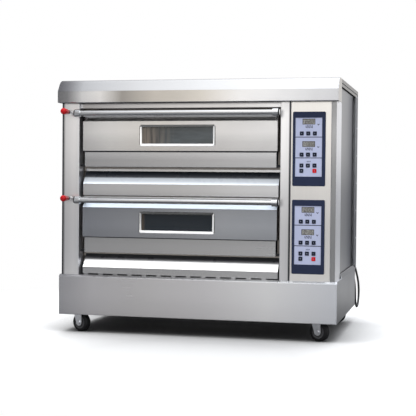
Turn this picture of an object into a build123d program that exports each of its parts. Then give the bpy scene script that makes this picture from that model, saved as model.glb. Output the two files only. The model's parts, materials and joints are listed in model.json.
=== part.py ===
"""Two-deck electric bakery oven on casters.

The cabinet is folded stainless sheet: a skirted base, a front frame of three posts, two
drop-down doors side by side with a control column, a projecting canopy and plain outer
panels. Row frame: +X right as seen from the front, +Y towards the back, +Z up, origin on the
floor under the centre of the oven, its lead left out. Millimetres.
"""

import os
from math import cos, pi, radians, tan

from build123d import *

os.makedirs("parts", exist_ok=True)

# ---------------------------------------------------------------- driving dimensions
overall_width = 1330  # base skirt and canopy
body_width = 1310  # over the posts
roof_top = 1201
cabinet_depth = 860  # skirt face to rear panel
knob_reach = 99  # damper knobs stand this far in front of the skirt
deck_pitch = 408
sheet = 1.5

front = knob_reach - (knob_reach + cabinet_depth) / 2  # y of the skirt's front face
rear = front + cabinet_depth
half_width = overall_width / 2
half_body = body_width / 2
decks = {"upper": 0, "lower": -deck_pitch}  # each deck is the upper one, moved down

# base
skirt_bottom = 85
skirt_top = 267.5
ledge_top = 276  # the posts stand on it
ledge_run = 10  # the ledge slopes back this far to the posts' front
skirt_depth = 815
side_ledge_rise = 22
side_ledge_run = 7

# front frame
post_front = front + ledge_run
post_depth = 60
post_top = 1150
left_post = (-half_body, -570)
middle_post = (400, 446)
corner_post = (632, half_body)
corner_post_depth = 185
header_front = front + 35
header_drop = 45  # the control column's header comes down this far
header_bottom = 1068

# door, upper deck
door_centre = (left_post[1] + middle_post[0]) / 2
door_width = 938
flange_width = 926  # the bottom band is narrower than the panel
door_bottom = 791
flange_top = 866
panel_face_top = 1006
panel_top = 1025
door_top = 1058
panel_front = front + 18
flange_front = front + 30
strip_front = front + 40
door_back = front + 78
hinge_y = front + 37
hinge_z = 799
hinge_pin_radius = 6
running_gap = 0.05

# window
window_centre = (-89.5, 938.5)
window_glass_size = (343, 77)
trim_border = 11.5
trim_proud = 5
trim_sleeve = 5

# handle
handle_y = front - 45
handle_z = 1041
handle_radius = 12.5
handle_wall = 1.5
socket_radius = 18
socket_length = 32
socket_round = 9
arm_width = 12

# baking chamber, upper deck
chamber_x = (-525, 355)
chamber_y = (front + 84, front + 735)
chamber_z = (776, 1040)
mouth_bottom = 797
mouth_top = 1036
hearth_top = mouth_bottom + 4
heater_radius = 5
heater_pitch = 60
heater_rows = (front + 170, front + 390, front + 610)
heater_low = 786
heater_high = 1024
heater_left = chamber_x[0] + 60
heater_right = chamber_x[1] + 14

# damper pulls
damper_x = -613
damper_height = 1048
damper_rod_radius = 5
damper_ball_radius = 14
damper_ball_y = front - knob_reach + damper_ball_radius
damper_bore_gap = 0.3
port_y = (front + 640, front + 690)
port_z = (930, 990)
port_end = -598

# controllers
controller_centres = {"upper": (530.5, 876.5), "lower": (530.5, 477.5)}
bezel_size = (149, 337)
bezel_front = front + 4
fascia_front = front + 12
face_size = (121.5, 266.5)
face_offset = (-1.5, 8)  # the face sits above and left of the bezel's centre
face_front = front + 6
face_thickness = 2
key_size = 17.5
key_gap = 0.4
key_columns = (-32, -2.5, 27.5)
key_rows = {"top": 62, "middle": -33.5, "set": -83, "power": -107}
display_size = (58, 26)
display_rows = (115.5, 14)

# casters
caster_x = (-592, 557)  # further out under the doors than under the control column
caster_y = (front + 60, front + 750)
caster_trail = 28
caster_turn = -22  # degrees about +Z that each fork stands at
wheel_radius = 45
wheel_width = 34
caster_top = 128
chassis_channel = 40

# supply lead, three-phase
cord_diameter = 11
cord_radius = cord_diameter / 2
coil_turn_radius = 62.5  # to the middle of its turns
coil_centre = (400, rear + 220)


def block(x, y, z, mode=Mode.ADD):
    """A box between pairs of limits, in the builder that is open."""
    middle = [sum(pair) / 2 for pair in (x, y, z)]
    with Locations(tuple(middle)):
        Box(x[1] - x[0], y[1] - y[0], z[1] - z[0], mode=mode)


def extruded_x(points, x_range, mode=Mode.ADD):
    """A (y, z) outline drawn out along X, in the builder that is open."""
    with BuildSketch(Plane.YZ.offset(x_range[0])) as profile:
        with BuildLine():
            Polyline(*points, close=True)
        make_face()
    extrude(profile.sketch, amount=x_range[1] - x_range[0], mode=mode)


def rounded_bar(centre, size, radius, y_range, mode=Mode.ADD):
    """A rounded rectangle on the front, (x, z) centre and size, drawn out along Y."""
    with BuildSketch(Plane.XZ.offset(-y_range[1])) as profile:
        with Locations(centre):
            RectangleRounded(*size, radius)
    extrude(profile.sketch, amount=y_range[1] - y_range[0], mode=mode)


def save(shape, name):
    """Writes one node's file."""
    shape.label = name
    export_step(shape, f"parts/{name}.step")


def save_group(parts, name):
    """Writes several separate solids as one node."""
    solids = [solid for part in parts for solid in part.solids()]
    save(Compound(children=solids), name)


def grown(pair, by):
    """A pair of limits, moved apart."""
    return (pair[0] - by, pair[1] + by)


def raised(pair, by):
    """A pair of limits, both moved."""
    return (pair[0] + by, pair[1] + by)


# ---------------------------------------------------------------- base
skirt_x = (-half_width, half_width)
skirt_y = (front, front + skirt_depth)
side_ledge_start = {-1: post_front + post_depth, 1: post_front + corner_post_depth}

with BuildPart() as base_skirt:
    block(skirt_x, skirt_y, (skirt_bottom, skirt_top))
    block(grown(skirt_x, -sheet), grown(skirt_y, -sheet), (skirt_bottom, skirt_top), Mode.SUBTRACT)
    extruded_x(
        [
            (front, skirt_top - sheet),
            (front, skirt_top),
            (post_front, ledge_top),
            (skirt_y[1], ledge_top),
            (skirt_y[1], ledge_top - sheet),
            (post_front + sheet, ledge_top - sheet),
            (front + sheet, skirt_top - sheet),
        ],
        skirt_x,
    )
    block(skirt_x, (skirt_y[1] - sheet, skirt_y[1]), (skirt_top - sheet, ledge_top))
    for side in (-1, 1):
        block(
            sorted((side * half_width, side * (half_width - sheet))),
            (post_front, skirt_y[1]),
            (skirt_top - sheet, ledge_top),
        )
        with BuildSketch(Plane.XZ.offset(-skirt_y[1])):
            with BuildLine():
                Polyline(
                    (side * half_width, ledge_top),
                    (side * (half_width - side_ledge_run), ledge_top + side_ledge_rise),
                    (side * (half_width - side_ledge_run - sheet), ledge_top + side_ledge_rise),
                    (side * (half_width - 2 * sheet), ledge_top),
                    close=True,
                )
            make_face()
        extrude(amount=skirt_y[1] - side_ledge_start[side])
save(base_skirt.part, "base_skirt")

chassis_x = (-640, 640)
chassis_y = (front + 20, front + 795)
ring_bottoms = (caster_top, ledge_top - sheet - chassis_channel)
channel_wall = 3
pad_size = (120, 100, 4)
with BuildPart() as chassis:
    for bottom in ring_bottoms:
        ring_z = (bottom, bottom + chassis_channel)
        block(chassis_x, chassis_y, ring_z)
        block(
            grown(chassis_x, -chassis_channel), grown(chassis_y, -chassis_channel), ring_z, Mode.SUBTRACT
        )
        with BuildSketch(Plane.XY.offset(bottom + channel_wall)):
            Rectangle(2 * half_width, 2 * cabinet_depth)
            with Locations((0, sum(chassis_y) / 2)):
                Rectangle(
                    chassis_x[1] - chassis_x[0] - 2 * (chassis_channel - channel_wall),
                    chassis_y[1] - chassis_y[0] - 2 * (chassis_channel - channel_wall),
                    mode=Mode.SUBTRACT,
                )
        extrude(amount=chassis_channel - 2 * channel_wall, mode=Mode.SUBTRACT)
    for x in (chassis_x[0], chassis_x[1] - chassis_channel):
        for y in (chassis_y[0], chassis_y[1] - chassis_channel):
            leg_x, leg_y = (x, x + chassis_channel), (y, y + chassis_channel)
            block(leg_x, leg_y, (ring_bottoms[0], ledge_top - sheet))
            block(
                grown(leg_x, -channel_wall),
                grown(leg_y, -channel_wall),
                (ring_bottoms[0] + pad_size[2], ledge_top - sheet),
                Mode.SUBTRACT,
            )
    for x in caster_x:
        for y in caster_y:
            with Locations((x, y, caster_top + pad_size[2] / 2)):
                Box(*pad_size)

# The welded frame is kept as its rails and legs, cut where they meet.
rails = chassis.part
for height in (ring_bottoms[0] + chassis_channel, ring_bottoms[1]):
    rails = split(rails, Plane.XY.offset(height), keep=Keep.BOTH)
for y in grown(chassis_y, -chassis_channel):
    rails = split(rails, Plane.XZ.offset(-y), keep=Keep.BOTH)
for x in grown(chassis_x, -chassis_channel):
    rails = split(rails, Plane.YZ.offset(x), keep=Keep.BOTH)

plate_size = (100, 84, 4)
plate_corner = 8
race_radius = 30
race_height = 10
kingpin_radius = 6
kingpin_drop = 14
race_bottom = caster_top - plate_size[2] - race_height
with BuildPart() as caster_plate:
    with Locations((0, 0, caster_top - plate_size[2] / 2)):
        Box(*plate_size)
    fillet(caster_plate.edges().filter_by(Axis.Z), plate_corner)
    with Locations((0, 0, caster_top - plate_size[2] - race_height / 2)):
        Cylinder(race_radius, race_height)
    with Locations((0, 0, race_bottom - kingpin_drop / 2)):
        Cylinder(kingpin_radius, kingpin_drop)
caster_spots = {
    "front_left": (caster_x[0], caster_y[0]),
    "front_right": (caster_x[1], caster_y[0]),
    "rear_left": (caster_x[0], caster_y[1]),
    "rear_right": (caster_x[1], caster_y[1]),
}
plates = [Pos(x, y, 0) * caster_plate.part for x, y in caster_spots.values()]
save_group([rails, *plates], "chassis_frame")

# ---------------------------------------------------------------- casters
fork_top = race_bottom - 1
fork_plate = 4
leg_thickness = 3
leg_gap = wheel_width / 2 + 2.5
leg_radius = 17
leg_top = (caster_trail / 2 - 26, caster_trail + 13)
axle_radius = 5
with BuildPart() as fork:
    with BuildSketch(Plane.XY.offset(fork_top - fork_plate)):
        Circle(race_radius - 1)
        with Locations((caster_trail / 2, 0)):
            Rectangle(caster_trail + 26, 2 * (leg_gap + leg_thickness))
        Circle(kingpin_radius + running_gap, mode=Mode.SUBTRACT)
    extrude(amount=fork_plate)
    for y in (leg_gap, -leg_gap - leg_thickness):
        with BuildSketch(Plane.XZ.offset(-y - leg_thickness)):
            with BuildLine():
                Polyline(
                    (leg_top[0], fork_top),
                    (caster_trail - leg_radius, wheel_radius),
                    (caster_trail + leg_radius, wheel_radius),
                    (leg_top[1], fork_top),
                    close=True,
                )
            make_face()
            with Locations((caster_trail, wheel_radius)):
                Circle(leg_radius)
                Circle(axle_radius, mode=Mode.SUBTRACT)
        extrude(amount=leg_thickness)

bolt_reach = leg_gap + leg_thickness
nut_height = 5
nut_flats = 9
with BuildPart() as axle_bolt:
    with BuildSketch(Plane.XZ.offset(-bolt_reach)):
        with Locations((caster_trail, wheel_radius)):
            Circle(axle_radius)
    extrude(amount=2 * bolt_reach)
    for plane_offset in (-bolt_reach - nut_height, bolt_reach):
        with BuildSketch(Plane.XZ.offset(plane_offset)):
            with Locations((caster_trail, wheel_radius)):
                RegularPolygon(nut_flats, 6)
        extrude(amount=nut_height)

half_wheel = wheel_width / 2
shoulder_radius = wheel_radius - 5
rim_radius = wheel_radius - 14
web_depth = 5
boss_radius = 13
boss_proud = 1.5
bore_radius = axle_radius + running_gap
with BuildPart() as wheel:
    with BuildSketch(Plane.XY):
        with BuildLine():
            Polyline(
                (bore_radius, -half_wheel - boss_proud),
                (boss_radius, -half_wheel - boss_proud),
                (boss_radius + 1, -half_wheel + web_depth),
                (rim_radius - 2, -half_wheel + web_depth),
                (rim_radius, -half_wheel),
                (shoulder_radius, -half_wheel),
            )
            ThreePointArc((shoulder_radius, -half_wheel), (wheel_radius, 0), (shoulder_radius, half_wheel))
            Polyline(
                (shoulder_radius, half_wheel),
                (rim_radius, half_wheel),
                (rim_radius - 2, half_wheel - web_depth),
                (boss_radius + 1, half_wheel - web_depth),
                (boss_radius, half_wheel + boss_proud),
                (bore_radius, half_wheel + boss_proud),
                (bore_radius, -half_wheel - boss_proud),
            )
        make_face()
    revolve(axis=Axis.Y)

for place, (x, y) in caster_spots.items():
    spot = Pos(x, y, 0) * Rot(0, 0, caster_turn)
    save_group([spot * fork.part, spot * axle_bolt.part], f"caster_fork_{place}")
    save(spot * Pos(caster_trail, 0, wheel_radius) * wheel.part, f"caster_wheel_{place}")

# ---------------------------------------------------------------- front frame
with BuildPart() as front_frame:
    post_y = (post_front, post_front + post_depth)
    posts = [(left_post, post_y), (middle_post, post_y)]
    posts.append((corner_post, (post_front, post_front + corner_post_depth)))
    for x_range, y_range in posts:
        block(x_range, y_range, (ledge_top, post_top))
    block((left_post[1], middle_post[0]), (header_front, post_y[1]), (header_bottom, post_top))
    block((middle_post[1], corner_post[0]), (header_front, post_y[1]), (post_top - header_drop, post_top))
    for x_range, y_range in posts:
        block(grown(x_range, -sheet), grown(y_range, -sheet), (ledge_top, post_top), Mode.SUBTRACT)
    block(
        (left_post[1] - sheet, middle_post[0] + sheet),
        (header_front + sheet, post_y[1] - sheet),
        (header_bottom + sheet, post_top),
        Mode.SUBTRACT,
    )
    block(
        (middle_post[1] - sheet, corner_post[0] + sheet),
        (header_front + sheet, post_y[1] - sheet),
        (post_top - header_drop + sheet, post_top),
        Mode.SUBTRACT,
    )
    for drop in decks.values():
        for x in (left_post[1] - sheet / 2, middle_post[0] + sheet / 2):
            with Locations(Location((x, hinge_y, hinge_z + drop), (0, 90, 0))):
                Cylinder(hinge_pin_radius + running_gap, 2 * sheet, mode=Mode.SUBTRACT)
        with Locations(Location((damper_x, post_front + post_depth / 2, damper_height + drop), (90, 0, 0))):
            Cylinder(damper_rod_radius + damper_bore_gap, post_depth + 2, mode=Mode.SUBTRACT)
save(front_frame.part, "front_frame")

# ---------------------------------------------------------------- canopy and outer panels
canopy_front = front - 28
canopy_back = front + 105
canopy_bottom = 1092
canopy_bend = 1146
shoulder = (front - 6, 1176)
crown = (front + 42, roof_top)


def canopy_outline(inset):
    """The canopy's end shape, drawn a given distance inside its skin, as a closed line."""
    low_front = (canopy_front + inset, canopy_bottom + inset)
    bend = (canopy_front + inset, canopy_bend)
    high_front = (shoulder[0] + inset, shoulder[1] - inset / 2)
    high_back = (crown[0], crown[1] - inset)
    with BuildLine() as outline:
        first = Polyline(low_front, bend, high_front)
        arc = TangentArc(first @ 1, high_back, tangent=(1, 1.4))
        Polyline(arc @ 1, (canopy_back, roof_top - inset), (canopy_back, canopy_bottom + inset), low_front)
    return outline.line


with BuildPart() as canopy:
    with BuildSketch(Plane.YZ.offset(-half_width)):
        make_face(canopy_outline(0).edges())
    extrude(amount=overall_width)
    with BuildSketch(Plane.YZ.offset(-half_width + sheet)):
        make_face(canopy_outline(sheet).edges())
    extrude(amount=overall_width - 2 * sheet, mode=Mode.SUBTRACT)
    block(
        (-half_width + sheet, half_width - sheet),
        (post_front - 1, canopy_back),
        (canopy_bottom, canopy_bottom + 2 * sheet),
        Mode.SUBTRACT,
    )
save(canopy.part, "canopy")

flange_bottom = 1168
flange_step = 1183
step_in = half_width - 5  # the flange's lower band stands back to here
roof_y = (canopy_back, rear)
with BuildPart() as roof_panel:
    block((-half_width, half_width), roof_y, (roof_top - sheet, roof_top))
    block((-half_width, half_width), (rear - sheet, rear), (flange_bottom, roof_top))
    for side in (-1, 1):
        block(sorted((side * half_width, side * (half_width - sheet))), roof_y, (flange_step, roof_top))
        block(sorted((side * half_width, side * step_in)), roof_y, (flange_step, flange_step + sheet))
        band_z = (flange_bottom, flange_step + sheet)
        block(sorted((side * step_in, side * (step_in + sheet))), roof_y, band_z)
save(roof_panel.part, "roof_panel")

rear_wrap = 110  # the rear panel comes round each side this far
side_panel_x = 651.5
panels = []
for side in (-1, 1):
    with BuildPart() as side_panel:
        block(
            sorted((side * side_panel_x, side * (side_panel_x - sheet))),
            (side_ledge_start[side], rear - rear_wrap),
            (ledge_top, flange_step),
        )
    panels.append(side_panel.part)
save_group(panels, "side_panels")

rear_half = half_width
gland_spot = (632, 330)
gland_thread_radius = 10
louvre_bottom = 700
louvre_pitch = 34
louvre_height = 8
louvre_columns = ((440, 600), (-600, -520))
wrap_bottom = ledge_top + side_ledge_rise + 1
with BuildPart() as rear_panel:
    block((-rear_half, rear_half), (rear - rear_wrap, rear - sheet), (ledge_top, flange_bottom))
    block(
        (-rear_half + sheet, rear_half - sheet),
        (rear - rear_wrap, rear - 2 * sheet),
        (ledge_top + sheet, flange_bottom),
        Mode.SUBTRACT,
    )
    for side in (-1, 1):  # clear of the skirt's side ledge
        block(
            sorted((side * (half_body + 0.5), side * half_width)),
            (rear - rear_wrap, skirt_y[1] + 1),
            (ledge_top, wrap_bottom),
            Mode.SUBTRACT,
        )
    for row in range(11):
        slot_z = raised((louvre_bottom, louvre_bottom + louvre_height), row * louvre_pitch)
        for column in louvre_columns:
            block(column, (rear - 4 * sheet, rear), slot_z, Mode.SUBTRACT)
    with Locations(Location((gland_spot[0], rear, gland_spot[1]), (90, 0, 0))):
        Cylinder(gland_thread_radius, 20, mode=Mode.SUBTRACT)
save(rear_panel.part, "rear_panel")

# ---------------------------------------------------------------- sills below the doors
sill_front = header_front
sill_back = front + 80
sill_low = 655
sill_edges = {"upper": 710, "lower": 720}
slope_top = 770
lip_top = 782
sill_half = 473
foot_pitch = 72
foot_width = 22
foot_height = 5  # the gap under the lower sill
sills = []
for deck, drop in decks.items():
    sill_x = (door_centre - sill_half, door_centre + sill_half)
    low = sill_low + drop if deck == "upper" else ledge_top + foot_height
    edge = sill_edges[deck] + drop
    with BuildPart() as sill:
        extruded_x(
            [
                (sill_front, low),
                (sill_front, edge),
                (sill_back, slope_top + drop),
                (sill_back, lip_top + drop),
                (sill_back + sheet, lip_top + drop),
                (sill_back + sheet, low),
            ],
            sill_x,
        )
        extruded_x(
            [
                (sill_front + sheet, low + sheet),
                (sill_front + sheet, edge - sheet / 2),
                (sill_back, slope_top + drop - 1.3 * sheet),
                (sill_back + 2 * sheet, slope_top + drop - 1.3 * sheet),
                (sill_back + 2 * sheet, low + sheet),
            ],
            grown(sill_x, -sheet),
            Mode.SUBTRACT,
        )
        if deck == "lower":
            for number in range(int(2 * sill_half / foot_pitch)):
                foot_x = sill_x[0] + 6 + number * foot_pitch
                block((foot_x, foot_x + foot_width), (sill_front + 2, sill_front + 12), (ledge_top, low))
    sills.append(sill.part)
save_group(sills, "sill_aprons")

# ---------------------------------------------------------------- baking chambers
mouth_frame_y = (chamber_y[0] - sheet, chamber_y[0])
liners = []
for drop in decks.values():
    inner_z = raised(chamber_z, drop)
    with BuildPart() as liner:
        block(grown(chamber_x, sheet), (chamber_y[0], chamber_y[1] + sheet), grown(inner_z, sheet))
        block((-568, 398), mouth_frame_y, (772 + drop, 1066 + drop))
        block(chamber_x, (chamber_y[0], chamber_y[1]), inner_z, Mode.SUBTRACT)
        block(chamber_x, grown(mouth_frame_y, 1), (mouth_bottom + drop, mouth_top + drop), Mode.SUBTRACT)
        block((port_end, chamber_x[0] - sheet), grown(port_y, sheet), grown(raised(port_z, drop), sheet))
        block((port_end - 1, chamber_x[0] + 1), port_y, raised(port_z, drop), Mode.SUBTRACT)
        for z in (heater_low, heater_high):
            for y in heater_rows:
                for leg in (-heater_pitch / 2, heater_pitch / 2):
                    with Locations(Location((chamber_x[1], y + leg, z + drop), (0, 90, 0))):
                        Cylinder(heater_radius + 1, 6 * sheet, mode=Mode.SUBTRACT)
    liners.append(liner.part)
    with BuildPart() as hearth:
        block(grown(chamber_x, -1), grown(chamber_y, -1), (mouth_bottom + drop, hearth_top + drop))
    liners.append(hearth.part)
save_group(liners, "chamber_liners")

heaters = []
for drop in decks.values():
    for z in (heater_low, heater_high):
        for y in heater_rows:
            half_pitch = heater_pitch / 2
            with BuildPart() as heater:
                with BuildLine():
                    near, far = y - half_pitch, y + half_pitch
                    out = Line((heater_right, near, z + drop), (heater_left, near, z + drop))
                    bend = (heater_left - half_pitch, y, z + drop)
                    turn = ThreePointArc(out @ 1, bend, (heater_left, far, z + drop))
                    Line(turn @ 1, (heater_right, far, z + drop))
                with BuildSketch(Plane(origin=out @ 0, z_dir=out % 0)):
                    Circle(heater_radius)
                sweep()
            heaters.append(heater.part)
save_group(heaters, "heating_elements")

slab_x = (-590, 396)
slab_y = (chamber_y[0] + 2, rear - 60)
gap = 2
top_deck, low_deck = decks["upper"], decks["lower"]
layers = [
    (chamber_z[1] + top_deck + gap + sheet, post_top + 30),
    (chamber_z[1] + low_deck + gap + sheet, chamber_z[0] + top_deck - gap - sheet),
    (ledge_top + 2, chamber_z[0] + low_deck - gap - sheet),
]
slabs = []
for z_range in layers:
    with BuildPart() as slab:
        block(slab_x, (post_front + post_depth + 16, slab_y[1]), z_range)
    slabs.append(slab.part)
for drop in decks.values():
    z_range = (chamber_z[0] + drop - gap, chamber_z[1] + drop + gap)
    with BuildPart() as rear_slab:
        block(slab_x, (chamber_y[1] + sheet + gap, slab_y[1]), z_range)
    with BuildPart() as right_slab:
        block((heater_right + 4, slab_x[1]), (slab_y[0], chamber_y[1]), z_range)
    with BuildPart() as left_slab:
        block((slab_x[0], chamber_x[0] - sheet - gap), (slab_y[0], port_y[0] - 6), z_range)
    slabs += [rear_slab.part, right_slab.part, left_slab.part]
save_group(slabs, "insulation_slabs")

# ---------------------------------------------------------------- doors
trim_outer = [side + 2 * trim_border for side in window_glass_size]
sleeve_outer = [side + 2 * trim_sleeve for side in window_glass_size]
pane = 4
handle_ends = (door_centre - door_width / 2 - 22, door_centre + door_width / 2 + 20)
for deck, drop in decks.items():
    door_x = (door_centre - door_width / 2, door_centre + door_width / 2)
    flange_x = (door_centre - flange_width / 2, door_centre + flange_width / 2)
    window = (window_centre[0], window_centre[1] + drop)

    with BuildPart() as door_frame:
        upper_z = (flange_top + drop, door_top + drop)
        lower_z = (door_bottom + drop, flange_top + drop)
        block(door_x, (strip_front, door_back), upper_z)
        block(flange_x, (flange_front, door_back), lower_z)
        block(
            grown(door_x, -sheet),
            (strip_front + sheet, door_back - sheet),
            (flange_top + drop + sheet, door_top + drop - sheet),
            Mode.SUBTRACT,
        )
        block(
            grown(flange_x, -sheet),
            (flange_front + sheet, door_back - sheet),
            (door_bottom + drop + sheet, flange_top + drop + 2 * sheet),
            Mode.SUBTRACT,
        )
        block(
            grown(door_x, -8),
            (strip_front - 1, strip_front + 2 * sheet),
            (flange_top + drop + sheet, panel_face_top + drop),
            Mode.SUBTRACT,
        )
        rounded_bar(window, window_glass_size, 4, (door_back - 3 * sheet, door_back + 1), Mode.SUBTRACT)
        for x_range in ((left_post[1] - 9, flange_x[0] + 2), (flange_x[1] - 2, middle_post[0] + 9)):
            with Locations(Location((sum(x_range) / 2, hinge_y, hinge_z + drop), (0, 90, 0))):
                Cylinder(hinge_pin_radius, x_range[1] - x_range[0])
    save(door_frame.part, f"door_frame_{deck}")

    with BuildPart() as door_panel:
        extruded_x(
            [
                (panel_front, flange_top + drop),
                (panel_front, panel_face_top + drop),
                (strip_front - sheet, panel_top + drop),
                (strip_front, panel_top + drop),
                (strip_front, flange_top + drop),
            ],
            door_x,
        )
        extruded_x(
            [
                (panel_front + sheet, flange_top + drop + sheet),
                (panel_front + sheet, panel_face_top + drop - 1),
                (strip_front - sheet, panel_top + drop - 2 * sheet),
                (strip_front + 1, panel_top + drop - 2 * sheet),
                (strip_front + 1, flange_top + drop + sheet),
            ],
            grown(door_x, -sheet),
            Mode.SUBTRACT,
        )
        opening = [side + 0.6 for side in sleeve_outer]
        rounded_bar(window, opening, 9, (panel_front - 1, panel_front + 2 * sheet), Mode.SUBTRACT)
    save(door_panel.part, f"door_panel_{deck}")

    with BuildPart() as window_trim:
        rounded_bar(window, trim_outer, 12, (panel_front - trim_proud, panel_front))
        rounded_bar(window, sleeve_outer, 8.5, (panel_front, panel_front + 10))
        through_trim = (panel_front - trim_proud - 1, panel_front + 11)
        rounded_bar(window, window_glass_size, 4, through_trim, Mode.SUBTRACT)
        chamfer(window_trim.faces().sort_by(Axis.Y)[0].outer_wire().edges(), 2)
    save(window_trim.part, f"window_trim_{deck}")

    panes = []
    for y in (panel_front + 10, door_back - sheet - pane):
        with BuildPart() as glass:
            rounded_bar(window, sleeve_outer, 4, (y, y + pane))
        panes.append(glass.part)
    save_group(panes, f"window_glass_{deck}")

    arm_x = [
        (door_x[0] + 0.5, door_x[0] + 0.5 + arm_width),
        (door_x[1] - 0.5 - arm_width, door_x[1] - 0.5),
    ]
    grips = []
    with BuildPart() as grip:
        with Locations(Location((sum(handle_ends) / 2, handle_y, handle_z + drop), (0, 90, 0))):
            Cylinder(handle_radius, handle_ends[1] - handle_ends[0] - 8)
            Cylinder(handle_radius - handle_wall, handle_ends[1] - handle_ends[0], mode=Mode.SUBTRACT)
    grips.append(grip.part)
    for end, x_range, outward in zip(handle_ends, arm_x, (-1, 1)):
        socket_middle = end - outward * socket_length / 2
        with BuildPart() as end_bracket:
            extruded_x(
                [
                    (handle_y, handle_z + drop + 12),
                    (strip_front, handle_z + drop + 16),
                    (strip_front, panel_top + drop + 0.5),
                    (handle_y + 10, handle_z + drop - 12),
                    (handle_y, handle_z + drop - 12),
                ],
                x_range,
            )
            with Locations(Location((socket_middle, handle_y, handle_z + drop), (0, 90, 0))):
                Cylinder(socket_radius, socket_length)
            rims = end_bracket.edges().filter_by(GeomType.CIRCLE)
            rims = rims.filter_by(lambda edge: abs(edge.radius - socket_radius) < 0.1).sort_by(Axis.X)
            fillet(rims[-1] if outward > 0 else rims[0], socket_round)
            with Locations(Location((socket_middle - outward * 4, handle_y, handle_z + drop), (0, 90, 0))):
                Cylinder(handle_radius, socket_length, mode=Mode.SUBTRACT)
        grips.append(end_bracket.part)
    save_group(grips, f"door_handle_{deck}")

# ---------------------------------------------------------------- damper pulls
neck_radius = 8
neck_end = post_front - 24
ball_back = 4  # the cone leaves the ball this far behind its middle
plate_x = (damper_x + damper_rod_radius, damper_x + damper_rod_radius + 3)
for deck, drop in decks.items():
    height = damper_height + drop
    with BuildPart() as knob:
        with BuildSketch(Plane.YZ.offset(damper_x)):
            with BuildLine():
                cheek = (damper_ball_y + ball_back, height + (damper_ball_radius**2 - ball_back**2) ** 0.5)
                nose = (damper_ball_y - damper_ball_radius, height)
                across = damper_ball_radius * cos(pi / 4)
                ThreePointArc(nose, (damper_ball_y - across, height + across), cheek)
                Polyline(cheek, (neck_end, height + neck_radius), (neck_end, height), nose)
            make_face()
        revolve(axis=Axis((damper_x, damper_ball_y, height), (0, 1, 0)))
        with Locations(Location((damper_x, neck_end, height), (90, 0, 0))):
            Cylinder(damper_rod_radius, 40, mode=Mode.SUBTRACT)
    rod_y = (neck_end - 20, port_y[1] + 4)
    with BuildPart() as rod:
        with Locations(Location((damper_x, sum(rod_y) / 2, height), (90, 0, 0))):
            Cylinder(damper_rod_radius, rod_y[1] - rod_y[0])
        plate_z = (port_z[0] + drop - 6, height + damper_rod_radius)
        block((damper_x, plate_x[1]), (port_y[0] - 5, port_y[1] + 4), plate_z)
        below_rod = (plate_z[0] - 1, height - 8)
        block((damper_x - 6, plate_x[0]), (port_y[0] - 6, port_y[1] + 5), below_rod, Mode.SUBTRACT)
    save_group([knob.part, rod.part], f"damper_pull_{deck}")

# ---------------------------------------------------------------- control column
bezels = []
faces = []
keys = {}
cut_size = (bezel_size[0] - 8, bezel_size[1] - 8)
key_layout = {
    "top_1": (0, "top"),
    "top_2": (1, "top"),
    "top_3": (2, "top"),
    "middle_1": (0, "middle"),
    "middle_2": (1, "middle"),
    "middle_3": (2, "middle"),
    "set_1": (0, "set"),
    "set_2": (1, "set"),
    "set_3": (2, "set"),
    "light": (0, "power"),
    "power": (2, "power"),
}
housing_back = fascia_front + 34
for deck, (cx, cz) in controller_centres.items():
    face_centre = (cx + face_offset[0], cz + face_offset[1])
    with BuildPart() as bezel:
        rounded_bar((cx, cz), bezel_size, 6, (bezel_front, fascia_front))
        chamfer(bezel.faces().sort_by(Axis.Y)[0].outer_wire().edges(), 1.5)
        rounded_bar((cx, cz), cut_size, 4, (fascia_front, housing_back))
        seat = [side + 0.2 for side in face_size]
        pocket = [side - 6 for side in face_size]
        rounded_bar(face_centre, seat, 1, (bezel_front - 1, face_front + face_thickness), Mode.SUBTRACT)
        rounded_bar(face_centre, pocket, 1, (face_front, housing_back - 2), Mode.SUBTRACT)
    bezels.append(bezel.part)
    key_spots = {
        name: (face_centre[0] + key_columns[column], face_centre[1] + key_rows[row])
        for name, (column, row) in key_layout.items()
    }
    lens_spots = [(face_centre[0], face_centre[1] + z) for z in display_rows]
    with BuildPart() as face:
        rounded_bar(face_centre, face_size, 1, (face_front, face_front + face_thickness))
        for spot in key_spots.values():
            rounded_bar(
                spot, [key_size + 2 * key_gap] * 2, 2.4, (face_front - 1, face_front + 3), Mode.SUBTRACT
            )
        for spot in lens_spots:
            rounded_bar(spot, display_size, 1.5, (face_front - 1, face_front + 3), Mode.SUBTRACT)
    faces.append(face.part)
    for spot in lens_spots:
        with BuildPart() as lens:
            rounded_bar(spot, display_size, 1.5, (face_front + 0.4, face_front + face_thickness))
        faces.append(lens.part)
    for name, spot in key_spots.items():
        with BuildPart() as key:
            rounded_bar(spot, (key_size, key_size), 2, (face_front - 2, face_front + 4.5))
            fillet(key.faces().sort_by(Axis.Y)[0].edges(), 0.6)
            flange_y = (face_front + face_thickness + 0.3, face_front + 3.5)
            rounded_bar(spot, (key_size + 3, key_size + 3), 2, flange_y)
        save(key.part, f"key_{deck}_{name}")
save_group(bezels, "controller_bezels")
save_group(faces, "controller_faces")

fascia_x = (middle_post[1] + 1, corner_post[0] - 1)
fascia_z = (ledge_top, 1104)
fascia_return = 22
with BuildPart() as control_fascia:
    block(fascia_x, (fascia_front, fascia_front + fascia_return), fascia_z)
    hollow_y = (fascia_front + sheet, fascia_front + fascia_return)
    block(grown(fascia_x, -sheet), hollow_y, fascia_z, Mode.SUBTRACT)
    for centre in controller_centres.values():
        rounded_bar(centre, cut_size, 4, (fascia_front - 1, fascia_front + 2 * sheet), Mode.SUBTRACT)
save(control_fascia.part, "control_fascia")

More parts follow.
